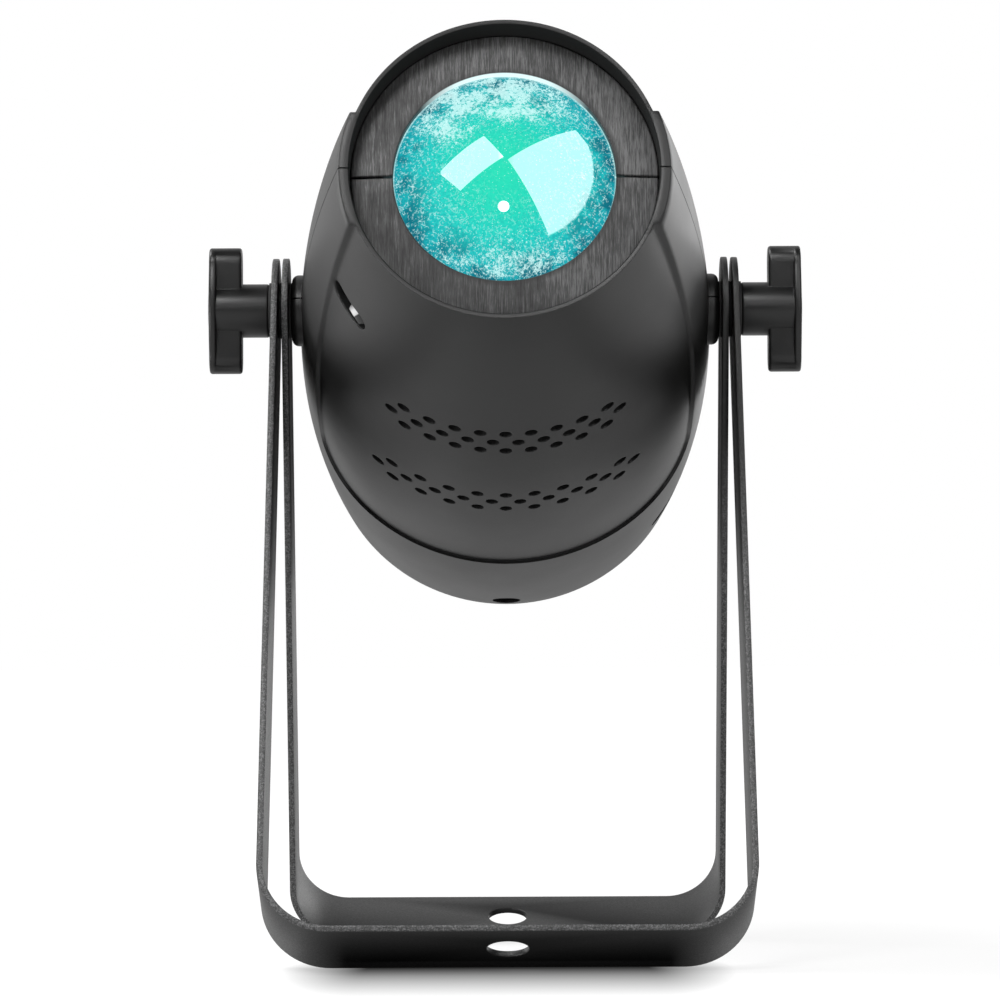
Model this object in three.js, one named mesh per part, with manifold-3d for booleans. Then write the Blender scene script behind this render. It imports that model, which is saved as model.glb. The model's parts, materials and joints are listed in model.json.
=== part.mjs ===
// Pin spot light: a barrel-shaped lamp head between two nested brackets of flat bar.
// Millimetres, +Z up. The light faces -Y, and the origin is under the middle of the whole lamp.
import * as THREE from 'three';
import { mergeVertices } from 'three/addons/utils/BufferGeometryUtils.js';
import Module from 'manifold-3d';

const wasm = await Module();
wasm.setup();

// Stance of the lamp, in degrees
const headTilt = 16.5;
const frontSplay = 24.06;
const rearSplay = 21.45;
const degree = Math.PI / 180;

// Running and assembly clearances
const seatGap = 0.2;
const splitGap = 0.3;
const turnGap = 0.1;
const boreGap = 0.3;
const overrun = 6;

// Flat bar of both brackets
const barWidth = 32;
const barThickness = 2;
const bracketDrop = 220.15;
const bendRadius = 22;
const legFlareShare = 0.0055;
const nestingGap = 1.3;
const baseNestingGap = 1.45;
const washerSpace = 0.85;
const fixingHole = 13;

// Clamp knobs, their studs and the washers on them
const studDiameter = 8;
const studCap = 4;
const washerDiameter = 18;
const knobStemDiameter = 17.3;
const knobStemLength = 8.7;
const knobBarLength = 40.8;
const knobBarThickness = 10.5;
const knobBarWidth = 11;
const knobPlateThickness = 2.4;
const knobPlateWidth = 15;
const knobWaist = 12.5;

// Barrel housing: reaches from the pivot, walls, and steps between its radii
const rimReach = 121;
const bellyReach = 40;
const bandReach = 124;
const rimWall = 3.2;
const rimSink = 1.7;
const panelSink = 1;
const tailDraw = 6;
const rearFrame = 10.7;
const rearMargin = 2.17;
const tailFillet = 8;
const shellWall = 2.4;
const shellSides = 36;
const roomSides = 24;
const rearLip = 2.4;

// Outline of the sunk panel, seen from the side
const panelFrontHeight = 17.6;
const panelRearHeight = 28;
const panelEnd = 61;
const panelCorner = 22;
const panelCornerStart = 38;

// Ledge in the snout that the bezel and the lens holder close on
const hoodDepth = 7;
const bezelDepth = 4;
const ledgeThickness = 2.5;
const ledgeWidth = 3.7;

// Pivot bosses of the housing
const bossDiameter = 23;
const bossProud = 1.7;
const bossEdge = 2.2;

// Vents: two groups of three staggered rows
const ventDiameter = 4;
const frontVentReach = 45.2;
const frontVentPitch = 7.9;
const frontVentRow = 5.8;
const rearVentReach = -1.1;
const rearVentPitch = 9.1;
const rearVentRow = 5.7;
const ventsPerRow = 9;
const ventSides = 6;

// Slots and the round access hole
const slotWidth = 7.5;
const slotLength = 18;
const frontSlotReach = 80.5;
const frontSlotAngle = 31;
const rearSlotSetback = 22.5;
const rearSlotAngle = 31;
const accessHole = 9.6;
const accessHoleSetback = 6.5;

// Bezel, lens and lens holder
const bezelSlope = 1;
const bezelChamfer = 1.2;
const lensRadius = 37;
const lensLap = 3.4;
const lensSphere = 68.8;
const lensSink = 1.2;
const lensEdge = 5;
const holderWall = 4.8;
const holderLip = 5;
const holderLipThickness = 2.7;

// Inner frame of bent sheet
const frameSheet = 2;
const frameHalfHeight = 20;
const frameFrontGap = 16.9;
const frameCornerGap = 0.67;
const frameRearSetback = 29;
const crossPlateReach = 24;
const crossPlateGap = 2.1;
const boardRoom = 1.5;
const trayGap = 7.6;
const bushDiameter = 16;
const bushBore = 0.3;

// Light engine and its heat sink
const boardRadius = 23;
const boardThickness = 1.6;
const emitterRadius = 6;
const emitterBase = 1.2;
const condenserRadius = 18;
const condenserStandoff = 6;
const condenserEdge = 2.5;
const condenserCrown = 9;
const holderFoot = 3;
const holderFootLap = 5.5;
const sinkGap = 1.05;
const sinkBase = 6;
const finDepth = 36;
const finThickness = 2;
const finCount = 11;

// Cooling fan
const fanInset = 2;
const fanDepth = 20;
const fanRim = 2.5;
const fanHub = 14;
const fanMount = 3;
const fanStrut = 4;
const fanPin = 2;
const rotorHub = 16;
const rotorTipGap = 1.2;
const rotorDepth = 13;
const bladeThickness = 1.4;
const bladeTwist = 35;
const bladeCount = 7;

// Mains supply board on the tray
const supplySideGap = 10;
const supplySetback = 3;
const supplyLength = 42;
const coilSize = 22;
const coilHeight = 17;
const canDiameter = 13;
const canHeight = 20;

// Rear panel with its controls and sockets
const rearPanelLap = 2.3;
const rearPanelThickness = 2;
const windowHalfWidth = 21;
const windowHalfHeight = 8;
const windowGap = 5.5;
const windowThickness = 2.2;
const windowFlange = 1.6;
const buttonDiameter = 7;
const buttonFlange = 9.4;
const buttonFlangeThickness = 1.2;
const buttonProud = 1.6;
const buttonPitch = 15;
const buttonGap = 6;
const buttonTravel = 0.7;
const buttonCount = 4;
const controlSideMargin = 11.5;
const controlLowGap = 1.3;
const controlTopMargin = 3;
const controlDepth = 9;
const switchSize = 6;
const socketDiameter = 26;
const socketFlange = 2.4;
const socketBody = 23.4;
const socketDepth = 18;
const socketCup = 9.4;
const socketCupDepth = 13;
const socketCore = 7.4;
const socketPin = 1.25;
const socketPinCircle = 4;
const socketPinCount = 3;
const socketEyeGap = 3.75;
const socketDrop = 5;
const inletHalfWidth = 20;
const inletHalfHeight = 12;
const inletFlange = 2.6;
const inletBodyHalfWidth = 14;
const inletBodyHalfHeight = 10.6;
const inletMouthHalfWidth = 12;
const inletMouthHalfHeight = 8.2;
const inletDepth = 20;
const inletMouthDepth = 15;
const inletGap = 2;
const inletBladeWidth = 4;
const inletBladeThickness = 2;
const inletBladePitch = 7;
const contactSink = 5;
const eyeBar = 4.5;
const eyeHalfWidth = 8;
const eyeReach = 15;
const eyeBend = 6;
const panelScrewHead = 5.6;
const panelScrewHeight = 2;
const panelScrewInset = 4.5;
const panelScrewAngle = 38;

// Layout of the rear panel, from the sockets outwards
const socketSide = eyeHalfWidth + eyeBar / 2 + socketEyeGap + socketDiameter / 2;
const inletDrop = socketDrop + socketDiameter / 2 + inletGap + inletHalfHeight;
const buttonHeight = socketDiameter / 2 - socketDrop + buttonGap;
const windowHeight = buttonHeight + buttonDiameter / 2 + windowGap + windowHalfHeight;
const controlHalfWidth = (buttonCount - 1) / 2 * buttonPitch + controlSideMargin;
const controlLow = socketBody / 2 - socketDrop + controlLowGap;
const controlHigh = windowHeight + windowHalfHeight + controlTopMargin;
const rearOpening = Math.hypot(inletHalfWidth, inletDrop + inletHalfHeight) + rearMargin;
const rearPanelRadius = rearOpening + rearPanelLap;
const panelScrewRadius = rearOpening - panelScrewInset;

// Snout, from the lens outwards and from the rim backwards
const bezelBore = lensRadius - lensLap;
const ledgeRadius = lensRadius + holderWall + 4 * boreGap;
const hoodRadius = ledgeRadius + ledgeWidth;
const holderFlangeRadius = hoodRadius + boreGap;
const bezelFace = rimReach - hoodDepth;
const ledgeReach = bezelFace - bezelDepth;
const lensRim = ledgeReach - lensSink;
const lensApex = lensRim + lensSphere - Math.sqrt(lensSphere ** 2 - lensRadius ** 2);

// Radii of the barrel: raised frame and sunk panels
const raisedRim = hoodRadius + rimWall;
const raisedTail = rearOpening + rearFrame;
const raisedBelly = raisedTail + tailDraw;
const panelRim = raisedRim - rimSink;
const panelBelly = raisedBelly - panelSink;

// Stack on the pivot, from the boss outwards
const bossFace = raisedBelly + bossProud;
const bracketWidth = 2 * (bossFace + washerSpace + 2 * barThickness + nestingGap);
const rearWidth = bracketWidth - 2 * (barThickness + nestingGap);
const rearDrop = bracketDrop - barThickness - baseNestingGap;
const rearBend = bendRadius - barThickness - nestingGap;
const pivotHeight = bracketDrop * Math.cos(frontSplay * degree) + barWidth / 2 * Math.sin(frontSplay * degree);
const bracketFace = bracketWidth / 2;
const rearFace = rearWidth / 2;
const studHole = studDiameter + 2 * boreGap;
const tailSlope = 2 * (raisedBelly - raisedTail) / (bandReach - bellyReach);
const tailAngle = Math.atan(tailSlope);
const tailCentre = bandReach - tailFillet * Math.sin(tailAngle);
const tailInner = raisedTail - tailFillet * Math.cos(tailAngle);
const tailEnd = tailCentre + tailFillet;
const rearPanelFace = -(tailEnd - rearLip - seatGap);
const rearPanelBack = rearPanelFace + rearPanelThickness;
const rearSlotReach = rearSlotSetback - bandReach;
const accessHoleReach = accessHoleSetback - bandReach;
const tau = 2 * Math.PI;

// Room inside the housing, and what has to fit in it
const holderBack = lensRim - lensEdge - seatGap;
const frameFront = holderBack - holderLipThickness - frameFrontGap;
const frameHalfWidth = Math.sqrt((roomRadius(frameFront) - frameCornerGap) ** 2 - frameHalfHeight ** 2);
const frameRear = frameRearSetback - bandReach;
const crossPlateHalfHeight = Math.sqrt((roomRadius(crossPlateReach) - crossPlateGap) ** 2 - frameHalfWidth ** 2);
const crossPlateBore = boardRadius + boardRoom;
const studReach = frameHalfWidth - frameSheet;
const holderFootRadius = crossPlateBore + holderFootLap;
const sinkHalf = (roomRadius(crossPlateReach) - sinkGap) / Math.SQRT2;
const fanHalf = sinkHalf - fanInset;
const fanBore = fanHalf - fanRim;
const rotorTip = fanBore - rotorTipGap;
const trayFront = fanFront() - fanDepth - trayGap;
const supplyHalfWidth = studReach - supplySideGap;

const finishes = {
  satinBlack: { color: 0x3a3a3b, roughness: 0.5, metalness: 0.1 },
  powderCoat: { color: 0x2b2b2c, roughness: 0.62, metalness: 0.2 },
  knobBlack: { color: 0x1b1b1c, roughness: 0.35, metalness: 0 },
  brushedDark: { color: 0x4a4a4b, roughness: 0.45, metalness: 0.5 },
  zinc: { color: 0xb9bcbf, roughness: 0.3, metalness: 0.9 },
  rubber: { color: 0x151515, roughness: 0.8, metalness: 0 },
  aluminium: { color: 0xa9abad, roughness: 0.4, metalness: 0.9 },
  glass: { color: 0x35d2ae, roughness: 0.05, metalness: 0 },
  circuit: { color: 0x1e5a38, roughness: 0.6, metalness: 0 },
  emitter: { color: 0xe8d86a, roughness: 0.3, metalness: 0 },
  darkPlastic: { color: 0x242424, roughness: 0.55, metalness: 0 },
  window: { color: 0x121a1c, roughness: 0.1, metalness: 0 },
};

const materials = Object.fromEntries(
  Object.entries(finishes).map(([name, look]) => [name, new THREE.MeshStandardMaterial({ name, ...look })]),
);

// A solid from a closed geometry, with its corners merged and its faces turned outwards
function solid(geometry) {
  const bare = geometry.clone();
  bare.deleteAttribute('normal');
  bare.deleteAttribute('uv');
  const welded = mergeVertices(bare);
  const place = welded.attributes.position;
  const index = welded.index.array;
  const corners = [];
  const a = new THREE.Vector3();
  const b = new THREE.Vector3();
  const c = new THREE.Vector3();
  let volume = 0;
  for (let i = 0; i < index.length; i += 3) {
    const [p, q, r] = [index[i], index[i + 1], index[i + 2]];
    if (p !== q && q !== r && r !== p) {
      corners.push(p, q, r);
      a.fromBufferAttribute(place, p);
      b.fromBufferAttribute(place, q);
      c.fromBufferAttribute(place, r);
      volume += a.dot(b.cross(c));
    }
  }
  if (volume < 0) corners.reverse();
  return new wasm.Manifold(new wasm.Mesh({
    numProp: 3,
    vertProperties: Float32Array.from(place.array),
    triVerts: Uint32Array.from(corners),
  }));
}

// A named mesh of one solid
function piece(name, body, finish) {
  const data = body.getMesh();
  const geometry = new THREE.BufferGeometry();
  geometry.setAttribute('position', new THREE.BufferAttribute(data.vertProperties, 3));
  geometry.setIndex(new THREE.BufferAttribute(data.triVerts, 1));
  geometry.computeVertexNormals();
  const mesh = new THREE.Mesh(geometry, materials[finish]);
  mesh.name = name;
  return mesh;
}

function join(bodies) {
  return bodies.reduce((whole, next) => whole.add(next));
}

function cut(body, tools) {
  return tools.reduce((whole, next) => whole.subtract(next), body);
}

// A box between two corners
function block(low, high) {
  const size = new THREE.Vector3(...high).sub(new THREE.Vector3(...low));
  const box = new THREE.BoxGeometry(size.x, size.y, size.z);
  box.translate((low[0] + high[0]) / 2, (low[1] + high[1]) / 2, (low[2] + high[2]) / 2);
  return solid(box);
}

// A round bar along X, from one place to another
function barAlongX(radius, from, to, y = 0, z = 0, sides = 24) {
  const bar = new THREE.CylinderGeometry(radius, radius, Math.abs(to - from), sides);
  bar.rotateZ(Math.PI / 2);
  bar.translate((from + to) / 2, y, z);
  return solid(bar);
}

// A round bar along Z
function barAlongZ(radius, from, to, x, y, sides) {
  const bar = new THREE.CylinderGeometry(radius, radius, Math.abs(to - from), sides);
  bar.rotateX(Math.PI / 2);
  bar.translate(x, y, (from + to) / 2);
  return solid(bar);
}

// A round bar along the lamp's axis, where a reach is counted forwards from the pivot
function barAlongAxis(radius, from, to, x = 0, height = 0, sides = 24) {
  const bar = new THREE.CylinderGeometry(radius, radius, Math.abs(to - from), sides);
  bar.translate(x, -(from + to) / 2, height);
  return solid(bar);
}

// A box in the lamp head: half width, reaches and heights
function headBlock(halfWidth, from, to, low, high, x = 0) {
  return block([x - halfWidth, -Math.max(from, to), low], [x + halfWidth, -Math.min(from, to), high]);
}

// A turned solid about the lamp's axis, from [radius, reach] points
function turned(points, segments) {
  const lathe = new THREE.LatheGeometry(points.map(([radius, reach]) => new THREE.Vector2(radius, reach)), segments);
  lathe.rotateX(Math.PI);
  return solid(lathe);
}

// A ring about the lamp's axis, whose outline closes on itself
function turnedRing(points, segments) {
  return turned([...points, points[0]], segments);
}

// A solid across the lamp head, from an outline of [reach, height] seen from the side
function acrossHead(shape, width) {
  const slab = new THREE.ExtrudeGeometry(shape, { depth: width, bevelEnabled: false, curveSegments: 6 });
  slab.translate(0, 0, -width / 2);
  const reach = new THREE.Vector3(0, -1, 0);
  const height = new THREE.Vector3(0, 0, 1);
  const side = new THREE.Vector3(-1, 0, 0);
  slab.applyMatrix4(new THREE.Matrix4().makeBasis(reach, height, side));
  return solid(slab);
}

// A solid along the lamp's axis, from an outline of [x, height] seen from the rear
function alongAxis(shape, from, to, curveSegments = 8) {
  const slab = new THREE.ExtrudeGeometry(shape, { depth: to - from, bevelEnabled: false, curveSegments });
  slab.rotateX(Math.PI / 2);
  slab.translate(0, -from, 0);
  return solid(slab);
}

function rectangle(halfWidth, halfHeight, x = 0, z = 0) {
  const shape = new THREE.Shape();
  shape.moveTo(x - halfWidth, z - halfHeight);
  shape.lineTo(x + halfWidth, z - halfHeight);
  shape.lineTo(x + halfWidth, z + halfHeight);
  shape.lineTo(x - halfWidth, z + halfHeight);
  shape.closePath();
  return shape;
}

// Bracket: a U of flat bar with flared legs and round leg tops, hung straight down from its pivot
function bracket(width, drop, bend) {
  const legTop = barWidth / 2;
  const lean = Math.atan(legFlareShare);
  const centreX = width / 2 + legFlareShare * (drop - bend) - bend / Math.cos(lean);
  const centreZ = bend - drop;
  const outerTop = width / 2 - legFlareShare * legTop;
  const innerTop = outerTop - barThickness / Math.cos(lean);
  const inner = bend - barThickness;
  const outline = new THREE.Shape();
  outline.absarc(-centreX, centreZ, bend, Math.PI - lean, 1.5 * Math.PI, false);
  outline.absarc(centreX, centreZ, bend, -Math.PI / 2, lean, false);
  outline.lineTo(outerTop, legTop);
  outline.lineTo(innerTop, legTop);
  outline.absarc(centreX, centreZ, inner, lean, -Math.PI / 2, true);
  outline.absarc(-centreX, centreZ, inner, 1.5 * Math.PI, Math.PI - lean, true);
  outline.lineTo(-innerTop, legTop);
  outline.lineTo(-outerTop, legTop);
  const bent = new THREE.ExtrudeGeometry(outline, { depth: barWidth, bevelEnabled: false, curveSegments: 6 });
  bent.translate(0, 0, -barWidth / 2);
  bent.rotateX(Math.PI / 2);
  const side = new THREE.Shape();
  side.moveTo(-barWidth / 2, 0);
  side.lineTo(-barWidth / 2, -drop - overrun);
  side.lineTo(barWidth / 2, -drop - overrun);
  side.lineTo(barWidth / 2, 0);
  side.absarc(0, 0, barWidth / 2, 0, Math.PI, false);
  const strip = new THREE.ExtrudeGeometry(side, { depth: width + 2 * bend, bevelEnabled: false, curveSegments: 12 });
  strip.translate(0, 0, -width / 2 - bend);
  const acrossY = new THREE.Vector3(0, 1, 0);
  const upZ = new THREE.Vector3(0, 0, 1);
  const alongX = new THREE.Vector3(1, 0, 0);
  strip.applyMatrix4(new THREE.Matrix4().makeBasis(acrossY, upZ, alongX));
  return cut(solid(bent).intersect(solid(strip)), [
    barAlongX(studHole / 2, -width, width, 0, 0, 12),
    barAlongZ(fixingHole / 2, -drop - overrun, -drop + overrun, 0, 0, 16),
  ]);
}

// Radius of the housing at a reach, for the raised frame or the sunk panel
function barrelRadius(reach, belly, rim, tail) {
  if (reach > -bellyReach) {
    const share = (reach + bellyReach) / (rimReach + bellyReach);
    return belly - (belly - rim) * share * share;
  }
  const share = (reach + bellyReach) / (bandReach - bellyReach);
  return belly - (belly - tail) * share * share;
}

function raisedRadius(reach) {
  return barrelRadius(reach, raisedBelly, raisedRim, raisedTail);
}

function panelRadius(reach) {
  return barrelRadius(reach, panelBelly, panelRim, raisedTail - panelSink);
}

// Clear radius of the room inside at a reach
function roomRadius(reach) {
  return (panelRadius(reach) - shellWall) * Math.cos(Math.PI / roomSides);
}

// Points [radius, reach] of a barrel line at even steps
function barrelLine(radiusAt, from, to, steps) {
  const points = [];
  for (let i = 0; i <= steps; i += 1) {
    const reach = from + (to - from) * i / steps;
    points.push([radiusAt(reach), reach]);
  }
  return points;
}

// The whole housing as one turned wall, before it is split into its halves
function housingWall() {
  const outer = [
    [0, rimReach],
    ...barrelLine(raisedRadius, rimReach, -bellyReach, 6),
    ...barrelLine(raisedRadius, -bellyReach, -bandReach, 3).slice(1),
  ];
  for (let i = 1; i <= 3; i += 1) {
    const turn = tailAngle + (Math.PI / 2 - tailAngle) * i / 3;
    outer.push([tailInner + tailFillet * Math.cos(turn), -tailCentre - tailFillet * Math.sin(turn)]);
  }
  outer.push([0, -tailEnd]);
  const innerRadius = (reach) => panelRadius(reach) - shellWall;
  const ledgeBack = ledgeReach - ledgeThickness;
  const lipFront = -(tailEnd - rearLip);
  const room = [
    [0, lipFront],
    [tailInner, lipFront],
    ...barrelLine(innerRadius, -tailCentre, ledgeBack, 4),
    [0, ledgeBack],
  ];
  return cut(turned(outer, shellSides), [
    turned(room, roomSides),
    barAlongAxis(rearOpening, -tailEnd - overrun, lipFront + shellWall / 2, 0, 0, shellSides),
    barAlongAxis(ledgeRadius, ledgeBack - shellWall / 2, ledgeReach + overrun / 2, 0, 0, roomSides),
    barAlongAxis(hoodRadius, ledgeReach, rimReach + overrun, 0, 0, shellSides),
  ]);
}

// What is cut off the raised frame to sink the lower panel
function panelLayer() {
  const front = rimReach + overrun;
  const deep = raisedBelly + overrun;
  const side = new THREE.Shape();
  side.moveTo(front, -panelFrontHeight);
  side.lineTo(-panelCornerStart, -panelRearHeight);
  side.quadraticCurveTo(-panelEnd, -panelRearHeight, -panelEnd, -panelRearHeight - panelCorner);
  side.lineTo(-panelEnd, -deep);
  side.lineTo(front, -deep);
  side.closePath();
  const core = [
    [0, -bandReach],
    ...barrelLine(panelRadius, -bandReach, -bellyReach, 3),
    ...barrelLine(panelRadius, -bellyReach, rimReach, 6).slice(1),
    [panelRadius(front), front],
    [0, front],
  ];
  return acrossHead(side, 2 * deep).subtract(turned(core, shellSides));
}

function ventCutters() {
  const cutters = [];
  const groups = [
    [frontVentReach, frontVentPitch, frontVentRow],
    [rearVentReach, rearVentPitch, rearVentRow],
  ];
  for (const [reach, pitch, row] of groups) {
    for (const offset of [-1, 0, 1]) {
      const count = offset === 0 ? ventsPerRow + 1 : ventsPerRow;
      for (let i = 0; i < count; i += 1) {
        const x = (i - (count - 1) / 2) * pitch;
        const y = -(reach + offset * row);
        cutters.push(barAlongZ(ventDiameter / 2, -panelBelly - overrun, -panelBelly / 2, x, y, ventSides));
      }
    }
  }
  return cutters;
}

// A round-ended slot through the wall, at an angle below the horizontal on the left (-1) or right (1)
function slotCutter(reach, angle, side) {
  const half = slotWidth / 2;
  const straight = slotLength / 2 - half;
  const shape = new THREE.Shape();
  shape.absarc(straight, 0, half, -Math.PI / 2, Math.PI / 2, false);
  shape.absarc(-straight, 0, half, Math.PI / 2, 1.5 * Math.PI, false);
  const long = 4 * shellWall;
  const slab = new THREE.ExtrudeGeometry(shape, { depth: 2 * long, bevelEnabled: false, curveSegments: 3 });
  slab.translate(0, 0, -long);
  const out = new THREE.Vector3(side * Math.cos(angle), 0, -Math.sin(angle));
  const reachwise = new THREE.Vector3(0, -1, 0);
  const around = new THREE.Vector3().crossVectors(reachwise, out);
  slab.applyMatrix4(new THREE.Matrix4().makeBasis(around, reachwise, out));
  slab.translate(out.x * raisedRadius(reach), -reach, out.z * raisedRadius(reach));
  return solid(slab);
}

// Boss round each pivot, joined to the housing wall and trimmed to its inner face
function pivotBosses() {
  const bosses = [];
  for (const side of [-1, 1]) {
    const rim = bossDiameter / 2;
    const outline = [
      [0, raisedBelly - 2 * shellWall],
      [rim, raisedBelly - 2 * shellWall],
      [rim, bossFace - bossEdge],
      [rim - bossEdge, bossFace],
      [0, bossFace],
    ];
    const lathe = new THREE.LatheGeometry(outline.map(([radius, out]) => new THREE.Vector2(radius, out)), 20);
    lathe.rotateZ(-side * Math.PI / 2);
    bosses.push(solid(lathe));
  }
  return bosses;
}

// Lower half of the housing; the upper half is the same moulding turned half round the lamp's axis
function halfShell() {
  const whole = join([housingWall(), ...pivotBosses()]);
  const reach = rimReach + overrun;
  const belly = raisedBelly + overrun;
  const lower = whole.intersect(headBlock(belly, -bandReach - 2 * overrun, reach, -belly, -splitGap / 2));
  return cut(lower, [
    panelLayer(),
    barAlongX(studHole / 2, -bossFace - overrun, bossFace + overrun, 0, 0, 12),
    barAlongZ(accessHole / 2, -belly, -belly / 2, 0, -accessHoleReach, 12),
    slotCutter(frontSlotReach, frontSlotAngle * degree, -1),
    slotCutter(rearSlotReach, rearSlotAngle * degree, 1),
    ...ventCutters(),
  ]);
}

// Half of the ring round the lens; side is 1 above and -1 below
function bezelHalf(side) {
  const outer = hoodRadius - splitGap;
  const back = ledgeReach + splitGap;
  const dome = (radius) => lensApex - lensSphere + Math.sqrt(lensSphere ** 2 - radius ** 2);
  const ring = turnedRing([
    [bezelBore, bezelFace],
    [bezelBore, dome(bezelBore) + splitGap],
    [bezelBore + bezelChamfer, dome(bezelBore + bezelChamfer) + splitGap],
    [lensRadius, back],
    [outer, back],
    [outer, bezelFace - bezelSlope - bezelChamfer],
    [outer - bezelChamfer, bezelFace - bezelSlope],
  ], shellSides);
  const keep = [side * splitGap / 2, side * (hoodRadius + overrun)].sort((low, high) => low - high);
  return ring.intersect(headBlock(hoodRadius + overrun, ledgeReach - overrun, rimReach, ...keep));
}

// Domed front lens with a flat back
function frontLens() {
  const points = [[0, lensRim - lensEdge], [lensRadius, lensRim - lensEdge]];
  const steps = 5;
  for (let i = 0; i <= steps; i += 1) {
    const turn = Math.asin(lensRadius / lensSphere) * (1 - i / steps);
    const radius = i === steps ? 0 : lensSphere * Math.sin(turn);
    points.push([radius, lensApex - lensSphere * (1 - Math.cos(turn))]);
  }
  return turned(points, 36);
}

// Ring that carries the lens from behind and stands against the ledge
function lensHolder() {
  const back = holderBack;
  const bore = lensRadius + 2 * boreGap;
  const flangeFront = ledgeReach - ledgeThickness - seatGap;
  const cupRadius = bore + holderWall;
  return turnedRing([
    [lensRadius - holderLip, back],
    [lensRadius - holderLip, back - holderLipThickness],
    [holderFlangeRadius, back - holderLipThickness],
    [holderFlangeRadius, flangeFront],
    [cupRadius, flangeFront],
    [cupRadius, ledgeReach - seatGap],
    [bore, ledgeReach - seatGap],
    [bore, back],
  ], 20);
}

// Bent sheet frame: two side plates, a cross plate for the light engine and a tray for the supply
function innerFrame() {
  const inner = frameHalfWidth - frameSheet;
  const plates = [-1, 1].map((side) => headBlock(
    frameSheet / 2, frameRear, frameFront, -frameHalfHeight, frameHalfHeight, side * (inner + frameSheet / 2),
  ));
  const back = crossPlateReach;
  const cross = alongAxis(rectangle(inner + frameSheet / 2, crossPlateHalfHeight), back, back + frameSheet);
  const tray = headBlock(inner + frameSheet / 2, frameRear, trayFront, -frameHalfHeight, -frameHalfHeight + frameSheet);
  return cut(join([...plates, cross, tray]), [
    barAlongAxis(crossPlateBore, back - overrun, back + overrun, 0, 0, 20),
    barAlongX(studHole / 2, -frameHalfWidth - overrun, frameHalfWidth + overrun, 0, 0, 12),
  ]);
}

function pivotBush(side) {
  const start = frameHalfWidth + seatGap;
  const radius = bushDiameter / 2;
  const end = Math.sqrt(roomRadius(radius) ** 2 - radius ** 2) - seatGap;
  const body = barAlongX(radius, side * start, side * end, 0, 0, 12);
  return body.subtract(barAlongX(studDiameter / 2 + bushBore, side * (start - overrun), side * (end + overrun), 0, 0, 8));
}

function heatSink() {
  const front = crossPlateReach - seatGap;
  const back = front - sinkBase;
  const fins = [];
  for (let i = 0; i < finCount; i += 1) {
    const x = (i / (finCount - 1) - 0.5) * 2 * (sinkHalf - finThickness / 2);
    fins.push(headBlock(finThickness / 2, back - finDepth, back + sinkBase / 2, -sinkHalf, sinkHalf, x));
  }
  return join([headBlock(sinkHalf, back, front, -sinkHalf, sinkHalf), ...fins]);
}

// Light engine, stacked forwards from the heat sink
function ledBoard() {
  const back = crossPlateReach;
  return barAlongAxis(boardRadius, back, back + boardThickness, 0, 0, 20);
}

function ledEmitter() {
  const back = crossPlateReach + boardThickness + seatGap;
  const dome = [[0, back], [emitterRadius, back], [emitterRadius, back + emitterBase]];
  const steps = 3;
  for (let i = 1; i <= steps; i += 1) {
    const turn = Math.PI / 2 * i / steps;
    const radius = i === steps ? 0 : (emitterRadius - emitterBase) * Math.cos(turn);
    dome.push([radius, back + emitterBase + (emitterRadius - emitterBase) * Math.sin(turn)]);
  }
  return turned(dome, 12);
}

function condenserBack() {
  return crossPlateReach + frameSheet + condenserStandoff + seatGap;
}

function condenserLens() {
  const back = condenserBack();
  const points = [[0, back], [condenserRadius, back], [condenserRadius, back + condenserEdge]];
  const steps = 4;
  for (let i = 1; i <= steps; i += 1) {
    const turn = Math.PI / 2 * i / steps;
    const radius = i === steps ? 0 : condenserRadius * Math.cos(turn);
    points.push([radius, back + condenserEdge + condenserCrown * Math.sin(turn)]);
  }
  return turned(points, 16);
}

function condenserHolder() {
  const foot = crossPlateReach + frameSheet + seatGap;
  const seat = condenserBack() - seatGap;
  const bore = condenserRadius + boreGap;
  return turnedRing([
    [bore - holderLipThickness, seat],
    [bore - holderLipThickness, foot],
    [holderFootRadius, foot],
    [holderFootRadius, foot + holderFoot],
    [bore + holderFoot, foot + holderFoot],
    [bore + holderFoot, seat + condenserEdge],
    [bore, seat + condenserEdge],
    [bore, seat],
  ], 16);
}

function fanFront() {
  return crossPlateReach - seatGap - sinkBase - finDepth - seatGap;
}

function fanFrame() {
  const front = fanFront();
  const back = front - fanDepth;
  const tube = headBlock(fanHalf, back, front, -fanHalf, fanHalf)
    .subtract(barAlongAxis(fanBore, back - overrun, front + overrun, 0, 0, 24));
  const struts = [0, 1].map((turn) => {
    const half = [fanStrut / 2, fanBore + boreGap];
    return headBlock(half[turn], back, back + fanMount, -half[1 - turn], half[1 - turn]);
  });
  const mount = barAlongAxis(fanHub, back, back + fanMount, 0, 0, 16);
  const pin = barAlongAxis(fanPin, back + fanMount / 2, back + fanMount + seatGap + rotorDepth / 2, 0, 0, 8);
  return join([tube, mount, ...struts, pin]);
}

function fanRotor() {
  const back = fanFront() - fanDepth + fanMount + seatGap;
  const front = back + rotorDepth;
  const hub = barAlongAxis(rotorHub, back, front, 0, 0, 16);
  const blades = [];
  for (let i = 0; i < bladeCount; i += 1) {
    const blade = new THREE.BoxGeometry(rotorTip - rotorHub / 2, rotorDepth, bladeThickness);
    blade.rotateX(bladeTwist * degree);
    blade.translate((rotorTip + rotorHub / 2) / 2, -(front + back) / 2, 0);
    blade.rotateY(tau * i / bladeCount);
    blades.push(solid(blade));
  }
  const limits = barAlongAxis(rotorTip, back, front, 0, 0, 24);
  const bore = barAlongAxis(fanPin + boreGap, back - overrun, back + rotorDepth / 2 + boreGap, 0, 0, 8);
  return join([hub, ...blades]).intersect(limits).subtract(bore);
}

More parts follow.
